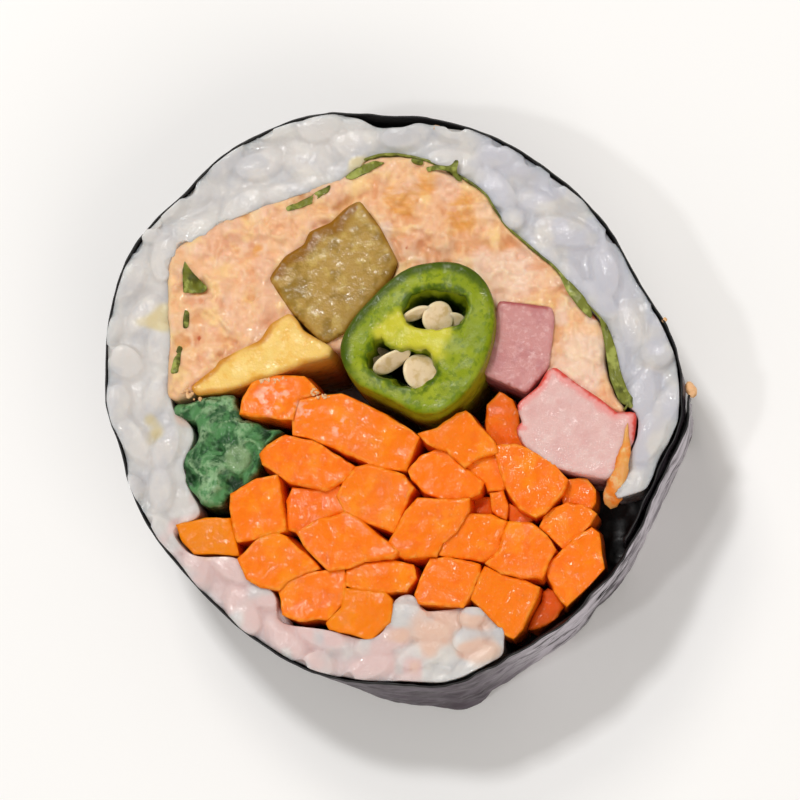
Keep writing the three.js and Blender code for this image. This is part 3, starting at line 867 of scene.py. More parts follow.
@dataclass
class Shape:
    """A mesh in mm, with painted values for each vertex."""

    vertices: Array
    faces: Sequence[Sequence[int]]
    paint: Paint = field(default_factory=dict)

    def to_mesh(self, name: str, scale: float = 1.0) -> bpy.types.Mesh:
        """Makes the Blender mesh, its lengths multiplied by scale.

        Args:
            name: Its name.
            scale: What its lengths are multiplied by.

        Returns:
            The mesh.
        """
        mesh = bpy.data.meshes.new(name)
        mesh.from_pydata((self.vertices * scale).tolist(), [], [list(f) for f in self.faces])
        for key, values in self.paint.items():
            layer = mesh.attributes.new(key, "FLOAT", "POINT")
            layer.data.foreach_set("value", np.asarray(values, np.float32))
        mesh.validate()
        mesh.update()
        return mesh


def place_piece(
    name: str, shape: Shape, finish: Finish, nodes: Sequence[str] = ()
) -> bpy.types.Object:
    """Makes a piece of the slice, in metres, smooth and dressed, and ties it to the frame.

    Args:
        name: The piece's name.
        shape: Its mesh in mm.
        finish: Its surface.
        nodes: CAD nodes that it stands for.

    Returns:
        The new object.
    """
    mesh = shape.to_mesh(name, MM)
    mesh.polygons.foreach_set("use_smooth", [True] * len(mesh.polygons))
    mesh.materials.append(dress(finish))
    piece = bpy.data.objects.new(name, mesh)
    bpy.context.scene.collection.objects.link(piece)
    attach(piece, BODY)
    if nodes:
        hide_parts(*nodes)
    LOG.info("%s: %d faces", name, len(mesh.polygons))
    return piece


def join(shapes: Sequence[Shape]) -> Shape:
    """Several shapes with the same painted values as one.

    Args:
        shapes: The shapes.

    Returns:
        The one shape.
    """
    starts = np.cumsum([0] + [len(s.vertices) for s in shapes])
    faces = [[i + start for i in f] for s, start in zip(shapes, starts) for f in s.faces]
    paint = {key: np.concatenate([s.paint[key] for s in shapes]) for key in shapes[0].paint}
    return Shape(np.vstack([s.vertices for s in shapes]), faces, paint)


@dataclass
class Fill:
    """A flat area inside outlines, filled with triangles."""

    points: Array  # the outlines' points first
    faces: list[tuple[int, ...]]
    near: Nearest
    loops: list[Array]

    @property
    def border(self) -> int:
        """Number of points on the outlines."""
        return sum(len(loop) for loop in self.loops)


def fill(loops: Sequence[Array], spacing: float) -> Fill:
    """Fills outlines with triangles of about one size.

    Args:
        loops: The outer outline and the holes' outlines.
        spacing: Distance between points in mm.

    Returns:
        The filled area.
    """
    outline = np.vstack(loops)
    low, high = outline.min(axis=0), outline.max(axis=0)
    rows = np.arange(low[1], high[1], spacing * math.sqrt(0.75))
    columns = np.arange(low[0], high[0], spacing)
    x, y = np.meshgrid(columns, rows)
    x = x + (np.arange(len(rows)) % 2)[:, None] * spacing / 2
    grid = np.column_stack([x.ravel(), y.ravel()])
    grid = grid + 0.2 * spacing * np.column_stack([noise(grid, spacing, s) for s in (1, 2)])
    keep = inside(grid, loops[0])
    for hole in loops[1:]:
        keep &= ~inside(grid, hole)
    grid = grid[keep]
    grid = grid[nearest(grid, loops).distance > 0.45 * spacing]
    points = np.vstack([outline, grid])
    edges, first = [], 0
    for loop in loops:
        last = first + len(loop)
        edges += [(i, i + 1 if i + 1 < last else first) for i in range(first, last)]
        first = last
    made = delaunay_2d_cdt([Vector(p) for p in points], edges, [], 0, 1e-6, True)
    source = [origin[0] if origin else -1 for origin in made[3]]
    corners = np.array([[source[i] for i in f] for f in made[2] if len(f) == 3])
    corners = corners[(corners >= 0).all(axis=1)]
    middle = points[corners].mean(axis=1)
    good = inside(middle, loops[0])
    for hole in loops[1:]:
        good &= ~inside(middle, hole)
    triangles = [tuple(int(i) for i in f) for f in corners[good]]
    return Fill(points, triangles, nearest(points, loops), list(loops))


@dataclass
class Column:
    """A filling that runs through the slice from face to face."""

    node: str
    finish: Finish
    slot: str
    spacing: float = 0.3  # mm between points
    ease: float = 0.3  # radius of the cut edges
    passes: int = 2  # softening of the corners
    sway: float = 0.07  # how uneven the sides are
    grow: float = 0.2  # how far it spreads against its neighbours
    swell: float = 0.25  # how much farther below the face
    levels: int = 9  # rings down the side
    relief: tuple[tuple[float, float], ...] = ((3.0, 0.12), (1.0, 0.05))  # size and height in mm
    seed: int = 1
    cut_height: float = CUT_HEIGHT  # where the CAD outline is taken
    foot: float = 0.0
    top: float | None = None  # level upper end in place of the node's own

    def outlines(self) -> list[Array]:
        """The outlines on the cut face, the outer one first."""
        loops = ROLL.outlines(self.node, self.cut_height, self.spacing, self.passes)
        return [grown(loop, self.grow) for loop in loops]

    def height(self, points: Array, seed: int) -> Array:
        """Relief of a cut face over each point."""
        return sum(size * rough(points, width, seed) for width, size in self.relief)

    def warp(self, points: Array, near: Nearest, depth: Array) -> Array:
        """Moves points sideways, by their depth below the nearer face."""
        spread = self.swell * fade(depth, 0.8, 3.0) * (near.distance < 1e-6)
        return points + near.facing * spread[:, None]

    def painted(self, place: Array, near: Nearest, depth: Array) -> Paint:
        """Painted values for each vertex.

        Args:
            place: The vertices in mm.
            near: Nearest place on the outlines.
            depth: Depth below the nearer face, in mm.

        Returns:
            The values by name.
        """
        edge = near.distance
        return {
            # painted highlight along the cut edges of the face
            "cut_edge": (1 - fade(edge, 0.05, 0.5)) * (depth < self.ease + 0.1),
            # side: painted shade, darker the deeper a place lies below the nearer face, down the sides
            # between neighbours
            "side": fade(depth, 0.25, 1.6),
        }

    def shape(self) -> Shape:
        """Builds the mesh: both cut faces, filled, and the rings of the side between them.

        Returns:
            The mesh in mm.
        """
        area = fill(self.outlines(), self.spacing)
        flat, near, border = area.points, area.near, area.border
        level = Level(0, 0, self.top) if self.top else top_level(self.node)
        over = level.at(ROLL.settle(flat, SLICE_HEIGHT))
        gap = np.clip(self.ease - near.distance, 0, self.ease)
        drop = self.ease - np.sqrt(np.maximum(self.ease**2 - gap**2, 0))
        open_face = fade(near.distance, 0, 2 * self.ease)
        upper = over - drop + self.height(flat, self.seed) * open_face
        lower = self.foot + drop + np.abs(self.height(flat, self.seed + 7)) * open_face
        heights, rows = [upper, lower], [flat, flat]
        picks = [np.arange(len(flat))] * 2
        ring = np.arange(border)
        for k in range(1, self.levels):
            share = (k / self.levels) ** 1.6
            heights.append(upper[:border] * (1 - share) + lower[:border] * share)
            rows.append(flat[:border])
            picks.append(ring)
        pick, z, xy = np.concatenate(picks), np.concatenate(heights), np.vstack(rows)
        near = Nearest(near.distance[pick], near.place[pick], near.facing[pick], near.loop[pick])
        depth = np.minimum(over[pick] - z, z - self.foot)
        depth[: 2 * len(flat)] = drop[pick[: 2 * len(flat)]]
        xy = ROLL.settle(self.warp(xy, near, depth), z)
        place = np.column_stack([xy, z])
        wobble = [noise(place, 2.3, self.seed + 20 + i) for i in range(2)]
        place[:, :2] += self.sway * np.column_stack(wobble)
        return Shape(place, self.skin(area), self.painted(place, near, depth))

    def skin(self, area: Fill) -> list[tuple[int, ...]]:
        """Faces of both ends and of the rings between them.

        Args:
            area: The filled outline.

        Returns:
            The faces, pointing out.
        """
        count, border = len(area.points), area.border
        faces = list(area.faces)
        faces += [tuple(i + count for i in reversed(f)) for f in area.faces]
        starts = [0] + [2 * count + k * border for k in range(self.levels - 1)] + [count]
        first = 0
        for loop in area.loops:
            size = len(loop)
            for above, below in itertools.pairwise(starts):
                for i in range(size):
                    here, there = first + i, first + (i + 1) % size
                    faces.append((above + here, below + here, below + there, above + there))
            first += size
        return faces

    def build(self) -> None:
        """Makes the piece."""
        place_piece(self.node + "_cut", self.shape(), self.finish, (self.node,))


# ---------------------------------------------------------------- seaweed and perilla leaf


def band_line(node: str, height: float) -> tuple[Array, Array]:
    """The middle line and half width of a thin open band.

    Args:
        node: The CAD node's name.
        height: Where it is cut, in mm.

    Returns:
        Points from one end to the other on the cut face, the outer side on the right of
        their run, and the half width at each.
    """
    loop = ROLL.to_face(cut_loops(node, height)[0], height)
    size = np.linalg.norm(np.roll(loop, -1, axis=0) - loop, axis=1)
    clean = loop[size > 0.02]
    size = np.linalg.norm(np.roll(clean, -1, axis=0) - clean, axis=1)
    turn = outward(clean)
    sharp = np.abs((np.roll(turn, -1, axis=0) * turn).sum(axis=1))
    first, second = sorted(np.argsort(size + 2 * sharp)[:2])
    one = clean[first + 1 : second + 1]
    other = np.vstack([clean[second + 1 :], clean[: first + 1]])[::-1]
    steps = 240
    one, other = (resample(side, length_along(side, False)[-1] / steps, False) for side in (one, other))
    count = min(len(one), len(other))
    one, other = one[:count], other[:count]
    middle = (one + other) / 2
    half = np.linalg.norm(one - other, axis=1) / 2
    spin = (middle[:-1, 0] * middle[1:, 1] - middle[1:, 0] * middle[:-1, 1]).sum()
    return (middle, half) if spin > 0 else (middle[::-1], half[::-1])


@dataclass
class Band:
    """A thin sheet that stands on edge and follows a line through the slice."""

    EDGE = ((0, SLICE_HEIGHT), (360, SLICE_HEIGHT))  # [degrees round the roll, height in mm]
    node: str
    finish: Finish
    slot: str
    thickness: float
    spacing: float
    levels: int
    crinkle: float  # mm
    crinkle_mm: tuple[float, float] = (4.2, 1.3)  # size of the large and small creases
    seed: int = 3
    edge_wave: float = 0.2
    cut_height: float = CUT_HEIGHT

    def top_edge(self, line: Array) -> Array:
        """Height of the upper edge at each point of the line.

        Args:
            line: Points in mm, in order.

        Returns:
            The heights in mm.
        """
        run = np.column_stack([length_along(line, False), np.zeros(len(line))])
        wave = self.edge_wave * (0.5 + 0.5 * rough(run, 2.6, self.seed))
        return np.interp(ROLL.angle(line), *zip(*self.EDGE)) - wave

    def shape(self) -> Shape:
        """Builds the mesh: an outer and an inner skin, joined round their edges.

        Returns:
            The mesh in mm.
        """
        middle, half = band_line(self.node, self.cut_height)
        line = resample(middle, self.spacing, False)
        where = length_along(line, False) / length_along(line, False)[-1]
        half = np.interp(where, np.linspace(0, 1, len(half)), half)
        side = outward(line, False)
        top = self.top_edge(line)
        rows = []
        travelled = length_along(line, False)
        for k in range(self.levels + 1):
            share = k / self.levels
            z = top * (1 - share) + 0.02 * share
            run = np.column_stack([travelled, z])
            large = 1 - np.abs(rough(run * (0.6, 1.8), self.crinkle_mm[0], self.seed + 1, 2))
            small = rough(run * (0.7, 1.4), self.crinkle_mm[1], self.seed + 5, 2)
            loose = self.looseness(line)
            crease = self.crinkle * (0.7 * (large - 0.6) + 0.3 * small) * loose
            crease = np.minimum(crease, 0.08 + 0.35 * np.maximum(loose - 0.5, 0))
            width = np.maximum(half, self.thickness / 2)
            outer = line + side * (width - crease)[:, None]
            inner = line + side * (width - crease - 2 * width * self.share(half))[:, None]
            for skin in (outer, inner):
                rows.append(np.column_stack([ROLL.settle(skin, z), z]))
        vertices = np.concatenate([np.array(rows[::2]), np.array(rows[1::2])[::-1]])
        round_section, count = len(vertices), len(line)
        number = np.arange(round_section * count).reshape(round_section, count)
        below = np.roll(number, -1, axis=0)
        corners = (number[:, :-1], below[:, :-1], below[:, 1:], number[:, 1:])
        faces = np.stack(corners, axis=-1).reshape(-1, 4).tolist()
        for level in range(self.levels):
            for end, turned in ((0, 1), (count - 1, -1)):
                a, b = number[level, end], number[level + 1, end]
                c, d = number[-level - 2, end], number[-level - 1, end]
                faces.append([int(i) for i in (a, d, c, b)][::turned])
        vertices = vertices.reshape(-1, 3)
        paint = self.painted(vertices, np.tile(top, round_section))
        paint["inner"] = np.repeat(np.arange(round_section) > self.levels, count) * 1.0
        return Shape(vertices, faces, paint)

    def looseness(self, line: Array) -> Array:
        """How strongly the sheet is crinkled at each point of the line."""
        return np.ones(len(line))

    def share(self, half: Array) -> Array:
        """The sheet's thickness as a share of the band's width."""
        return np.minimum(1, self.thickness / (2 * np.maximum(half, self.thickness / 2)))

    def painted(self, vertices: Array, top: Array) -> Paint:
        """Painted values for each vertex."""
        return {"rim": 1 - fade(top - vertices[:, 2], 0.1, 0.7)}

    def build(self) -> None:
        """Makes the piece."""
        place_piece(self.node + "_sheet", self.shape(), self.finish, (self.node,))


class Seaweed(Band):
    """The sheet round the roll. Rice stands over its rim at the upper left."""

    # [degrees round the roll, height of the rim in mm]
    EDGE = ((0, 17.0), (40, 17.05), (78, 17.0), (88, 17.1), (96, 17.1), (106, 17.0), (170, 16.95),
            (225, 16.95), (262, 17.0), (300, 17.05), (360, 17.0))

    def painted(self, vertices: Array, top: Array) -> Paint:
        """Painted values for each vertex: a painted sheen, palest at the right and lower right.

        Args:
            vertices: The vertices in mm.
            top: Height of the sheet's edge over each, in mm.

        Returns:
            The values by name.
        """
        # pale: painted sheen, strongest at the right and lower right and fading out towards the rim
        away = np.abs((ROLL.angle(vertices) - 328 + 180) % 360 - 180)
        below = fade(top - vertices[:, 2], 0.5, 2.0)
        return {**super().painted(vertices, top), "pale": (1 - fade(away, 22, 50)) * below}

    def looseness(self, line: Array) -> Array:
        """How strongly the sheet is crinkled: most where it is loose, at the lower right."""
        angle = (ROLL.angle(line) - 315 + 180) % 360 - 180
        return 0.45 + 0.75 * (1 - fade(np.abs(angle), 35, 75))


class PerillaLeaf(Band):
    """The leaf round the tuna salad. It sinks out of sight where salad and rice close over it."""

    # [degrees round the roll, height of the leaf's edge in mm]
    EDGE = ((0, 17.35), (60, 17.35), (98, 17.2), (104, 16.6), (109, 15.4), (141, 15.4), (149, 16.1),
            (160, 16.5), (172, 16.7), (200, 16.5), (350, 17.3), (360, 17.35))


def two_skins(area: Fill, upper: Array, lower: Array) -> Shape:
    """A thin closed sheet over a filled area.

    Args:
        area: The area.
        upper: Height of the upper skin over each of its points, in mm.
        lower: Height of the lower skin.

    Returns:
        The sheet.
    """
    count = len(area.points)
    faces = list(area.faces) + [tuple(i + count for i in reversed(f)) for f in area.faces]
    for i in range(area.border):
        j = (i + 1) % area.border
        faces.append((i, i + count, j + count, j))
    return Shape(np.vstack([np.column_stack([area.points, z]) for z in (upper, lower)]), faces)


@dataclass
class LeafBits:
    """Flaps and torn bits of the perilla leaf that lie on the cut face."""

    # [mm over the salad, then the outline's corners]
    outlines: tuple[tuple[float, tuple[tuple[float, float], ...]], ...] = (
        (0.3, ((-21.8, 14.6), (-20.9, 13.3), (-19.4, 11.8), (-19.8, 11.3), (-21.9, 11.2))),
        (0.1, ((-21.7, 9.6), (-21.2, 9.3), (-21.3, 7.7), (-21.9, 7.6))),
        (0.1, ((-22.4, 6.0), (-21.9, 5.8), (-22.1, 2.9), (-22.9, 2.8))),
        (0.05, ((-11.6, 20.0), (-6.9, 22.2), (-7.1, 21.4), (-9.4, 20.2), (-11.4, 19.5))),
        (0.15, ((-5.6, 22.9), (-4.2, 24.0), (-2.4, 24.6), (-1.4, 24.4), (-2.9, 23.5), (-4.9, 22.6))),
        (0.2, ((1.2, 24.8), (2.5, 24.5), (2.4, 24.0), (1.2, 24.3))),
        (0.3, ((2.7, 23.9), (5.4, 23.9), (5.7, 24.5), (6.1, 24.4), (5.9, 23.1), (6.5, 22.3),
               (5.9, 22.3), (5.2, 23.3), (2.8, 23.4))),
    )
    # [height in mm, then the outline's corners]
    flaps: tuple[tuple[float, tuple[tuple[float, float], ...]], ...] = (
        (17.6, ((16.2, 12.7), (17.5, 11.7), (18.8, 10.2), (19.6, 8.5), (19.4, 8.0), (18.3, 9.0),
                (17.0, 10.8))),
        (17.2, ((20.2, 8.4), (21.3, 6.8), (21.9, 5.0), (22.4, 2.6), (23.1, 0.7), (23.9, -0.4),
                (23.5, -1.1), (22.2, -0.3), (21.3, 2.0), (20.9, 4.8))),
    )
    thickness: float = 0.14
    curl: float = 0.35

    def build(self) -> None:
        """Makes all the bits as one piece."""
        salad = TunaSalad("tuna", TUNA_SALAD, "tuna")
        bits = [self.bit(number, *row, salad) for number, row in enumerate(self.outlines)]
        bits += [self.bit(20 + number, *row, None) for number, row in enumerate(self.flaps)]
        place_piece("perilla_bits", join(bits), PERILLA)

    def bit(self, number: int, height: float, corners: Sequence[Sequence[float]],
            ground: "TunaSalad | None") -> Shape:
        """One bit: two skins of a wavy sheet, joined at the edge.

        Args:
            number: Chooses its waves.
            height: Its height in mm, over the ground if there is one.
            corners: Its outline.
            ground: What it lies on.

        Returns:
            The bit.
        """
        loop = np.array(corners)
        loop = loop if turning(loop) > 0 else loop[::-1]
        area = fill([soften(divide(loop, 0.2), 2)], 0.2)
        wave = self.curl * noise(area.points, 2.0, 60 + number) + 0.08 * noise(area.points, 0.7, 80)
        if ground:
            under = top_level(ground.node).at(area.points) + ground.height(area.points, ground.seed)
            wave = 0.3 * wave + under
        thick = self.thickness * (0.5 + 0.5 * fade(area.near.distance, 0, 0.2))
        made = two_skins(area, height + wave, height + wave - thick)
        made.paint = {"back": np.repeat((0.0, 1.0), len(area.points))}
        return made


@dataclass
class Fold:
    """The seaweed's loose inner end, low in the gap between rice, carrots and sheet, black all over as
    painted shade for the gap.
    """

    outline: tuple[tuple[float, float], ...] = (
        (17.5, -8.0), (21.5, -6.3), (24.6, -7.2), (25.2, -9.5), (24.2, -12.5), (22.2, -15.8),
        (19.6, -19.2), (16.2, -21.6), (12.6, -23.9), (10.4, -24.0), (11.8, -20.8), (15.6, -17.0),
        (18.6, -13.0),
    )
    height: float = 9.0
    thickness: float = 0.2

    def build(self) -> None:
        """Makes the piece: two skins of one crinkled sheet, joined at the edge."""
        area = fill([soften(divide(np.array(self.outline), 0.4), 4)], 0.4)
        flat = area.points
        crease = 1 - np.abs(rough(flat, 2.4, 17, 2))
        z = self.height + 0.7 * (crease - 0.5) + 0.8 * rough(flat, 5, 19)
        shape = two_skins(area, z, z - self.thickness)
        # Black all over, rim and inner skin alike: painted shade for the gap.
        dark = np.ones(len(shape.vertices))
        shape.paint = {"rim": dark, "inner": dark, "pale": 0 * dark}
        place_piece("gim_gap_shade_sheet", shape, SEAWEED)


# ---------------------------------------------------------------- rice


class GrainScatter:
    """A node tree that packs rice grains along a ring.

    The points are spread over a strip that is squeezed along the ring, and then go home to the ring,
    so that each grain has more room along its length than across it.
    """

    FLOATS = {"Height": 0.0, "Grain length": 6.6, "Grain width": 3.2, "Grain height": 2.8,
              "Spacing": 2.3, "Upright share": 0.06, "Bend": 0.22}

    def __init__(self) -> None:
        """Builds the tree with its named inputs."""
        tree = bpy.data.node_groups.new("rice_grains", "GeometryNodeTree")
        sockets = tree.interface
        sockets.new_socket(name="Geometry", in_out="INPUT", socket_type="NodeSocketGeometry")
        self.inputs = {}
        for name, value in self.FLOATS.items():
            socket = sockets.new_socket(name=name, in_out="INPUT", socket_type="NodeSocketFloat")
            socket.default_value = value
            self.inputs[name] = socket.identifier
        for name, kind in (("Seed", "NodeSocketInt"), ("Material", "NodeSocketMaterial")):
            socket = sockets.new_socket(name=name, in_out="INPUT", socket_type=kind)
            self.inputs[name] = socket.identifier
        sockets.new_socket(name="Geometry", in_out="OUTPUT", socket_type="NodeSocketGeometry")
        source = add(tree, "NodeGroupInput").outputs
        grain = self.grain(tree, source)
        points = add(
            tree, "GeometryNodeDistributePointsOnFaces",
            {"distribute_method": "POISSON", "Density Max": 40.0},
            {"Mesh": source["Geometry"], "Distance Min": source["Spacing"], "Seed": source["Seed"]},
        )
        home = add(tree, "ShaderNodeCombineXYZ", {},
                   {"X": self.named(tree, "home_x"), "Y": self.named(tree, "home_y"),
                    "Z": source["Height"]})
        ring = add(tree, "GeometryNodeSetPosition", {},
                   {"Geometry": points.outputs["Points"], "Position": home.outputs[0]})
        laid = add(
            tree, "GeometryNodeInstanceOnPoints", {},
            {"Points": ring.outputs[0], "Instance": grain,
             "Rotation": self.turn(tree, source), "Scale": self.size(tree)},
        )
        real = add(tree, "GeometryNodeRealizeInstances", {}, {"Geometry": laid.outputs[0]})
        done = add(tree, "GeometryNodeSetMaterial", {},
                   {"Geometry": real.outputs[0], "Material": source["Material"]})
        add(tree, "NodeGroupOutput", {}, {"Geometry": done.outputs[0]})
        self.tree = tree

    def named(self, tree: Tree, name: str) -> Socket:
        """Adds the reading of a painted value."""
        settings = {"data_type": "FLOAT", "Name": name}
        return add(tree, "GeometryNodeInputNamedAttribute", settings).outputs[0]

    def grain(self, tree: Tree, source: object) -> Socket:
        """Adds one grain: a ball bent like a bean and drawn out to its length.

        Args:
            tree: The node tree.
            source: The tree's inputs.

        Returns:
            The socket that holds its mesh.
        """
        ball = add(tree, "GeometryNodeMeshUVSphere", {"Segments": 18, "Rings": 12, "Radius": 0.5})
        place = add(tree, "GeometryNodeInputPosition")
        parts = add(tree, "ShaderNodeSeparateXYZ", {}, {0: place.outputs[0]})
        square = add(tree, "ShaderNodeMath", {"operation": "MULTIPLY"},
                     {0: parts.outputs[0], 1: parts.outputs[0]})
        bend = add(tree, "ShaderNodeMath", {"operation": "MULTIPLY"},
                   {0: square.outputs[0], 1: source["Bend"]})
        offset = add(tree, "ShaderNodeCombineXYZ", {}, {"Y": bend.outputs[0]})
        bent = add(tree, "GeometryNodeSetPosition", {},
                   {"Geometry": ball.outputs["Mesh"], "Offset": offset.outputs[0]})
        size = add(tree, "ShaderNodeCombineXYZ", {},
                   {"X": source["Grain length"], "Y": source["Grain width"],
                    "Z": source["Grain height"]})
        return add(tree, "GeometryNodeTransform", {},
                   {"Geometry": bent.outputs[0], "Scale": size.outputs[0]}).outputs[0]

    def turn(self, tree: Tree, source: object) -> Socket:
        """Adds each grain's turn: along the roll's side, more or less, or steeply upright.

        Args:
            tree: The node tree.
            source: The tree's inputs.

        Returns:
            The socket that holds the turns.
        """
        stray = add(tree, "FunctionNodeRandomValue", {"data_type": "FLOAT", 2: -0.5, 3: 0.5, 8: 11})
        heading = add(tree, "ShaderNodeMath", {"operation": "ADD"},
                      {0: self.named(tree, "turn"), 1: stray.outputs[1]})
        flat = add(tree, "FunctionNodeRandomValue", {"data_type": "FLOAT", 2: -0.35, 3: 0.35, 8: 12})
        steep = add(tree, "FunctionNodeRandomValue", {"data_type": "FLOAT", 2: 0.8, 3: 1.5, 8: 13})
        which = add(tree, "FunctionNodeRandomValue", {"data_type": "BOOLEAN", 8: 14},
                    {6: source["Upright share"]})
        tilt = add(tree, "GeometryNodeSwitch", {"input_type": "FLOAT"},
                   {"Switch": which.outputs[3], "False": flat.outputs[1], "True": steep.outputs[1]})
        own = add(tree, "FunctionNodeRandomValue", {"data_type": "FLOAT", 2: 0.0, 3: 6.3, 8: 15})
        return add(tree, "ShaderNodeCombineXYZ", {},
                   {"X": own.outputs[1], "Y": tilt.outputs[0], "Z": heading.outputs[0]}).outputs[0]

    def size(self, tree: Tree) -> Socket:
        """Adds each grain's own size."""
        spread = {"data_type": "FLOAT", 2: 0.84, 3: 1.12, 8: 16}
        return add(tree, "FunctionNodeRandomValue", spread).outputs[1]

    def scatter(self, surface: Shape, seed: int, values: dict[str, float]) -> Shape:
        """Lays grains over a surface.

        Args:
            surface: The squeezed strip, with the painted values "home_x", "home_y" and "turn".
            seed: Chooses the places.
            values: Inputs that differ from the tree's own.

        Returns:
            The grains.
        """
        holder = bpy.data.objects.new("rice_ground", surface.to_mesh("rice_ground"))
        bpy.context.scene.collection.objects.link(holder)
        modifier = holder.modifiers.new("grains", "NODES")
        modifier.node_group = self.tree
        modifier[self.inputs["Seed"]] = seed
        modifier[self.inputs["Material"]] = dress(COOKED_RICE)
        for name, value in values.items():
            modifier[self.inputs[name]] = value
        return take_mesh(holder)


def take_mesh(holder: bpy.types.Object) -> Shape:
    """The evaluated mesh of a working object, which is then removed.

    Args:
        holder: The object.

    Returns:
        The mesh in mm.
    """
    graph = bpy.context.evaluated_depsgraph_get()
    mesh = bpy.data.meshes.new_from_object(holder.evaluated_get(graph))
    points = np.zeros(3 * len(mesh.vertices), np.float32)
    mesh.vertices.foreach_get("co", points)
    faces = [tuple(f.vertices) for f in mesh.polygons]
    bpy.data.objects.remove(holder)
    bpy.data.meshes.remove(mesh)
    return Shape(points.reshape(-1, 3).astype(float), faces)


FUSE_PASSES = 5  # how often a fused skin is smoothed


def fuse(shape: Shape, voxel: float) -> Shape:
    """One closed skin over shapes that run into each other.

    Args:
        shape: The shapes, in mm.
        voxel: Size of the skin's faces in mm.

    Returns:
        The skin.
    """
    holder = bpy.data.objects.new("fusing", shape.to_mesh("fusing"))
    bpy.context.scene.collection.objects.link(holder)
    remesh = holder.modifiers.new("skin", "REMESH")
    remesh.mode = "VOXEL"
    remesh.voxel_size = voxel
    smooth = holder.modifiers.new("smooth", "SMOOTH")
    smooth.factor = 0.5
    smooth.iterations = FUSE_PASSES
    return take_mesh(holder)


@dataclass(frozen=True)
class Spot:
    """A round tinted place on the cut face: x, y and radius in mm."""

    x: float
    y: float
    radius: float

    def at(self, points: Array) -> Array:
        """Strength over each point, broken up by noise.

        Args:
            points: Places in mm, one row each.

        Returns:
            The strength, from 0 to 1.
        """
        away = np.hypot(points[:, 0] - self.x, points[:, 1] - self.y)
        uneven = away + 0.5 * self.radius * noise(points[:, :2], 1.6, 4)
        return fade(uneven, self.radius, 0.3 * self.radius)


def spotted(points: Array, spots: Sequence[Spot]) -> Array:
    """The strongest of several spots over each point."""
    return np.max([spot.at(points) for spot in spots], axis=0)


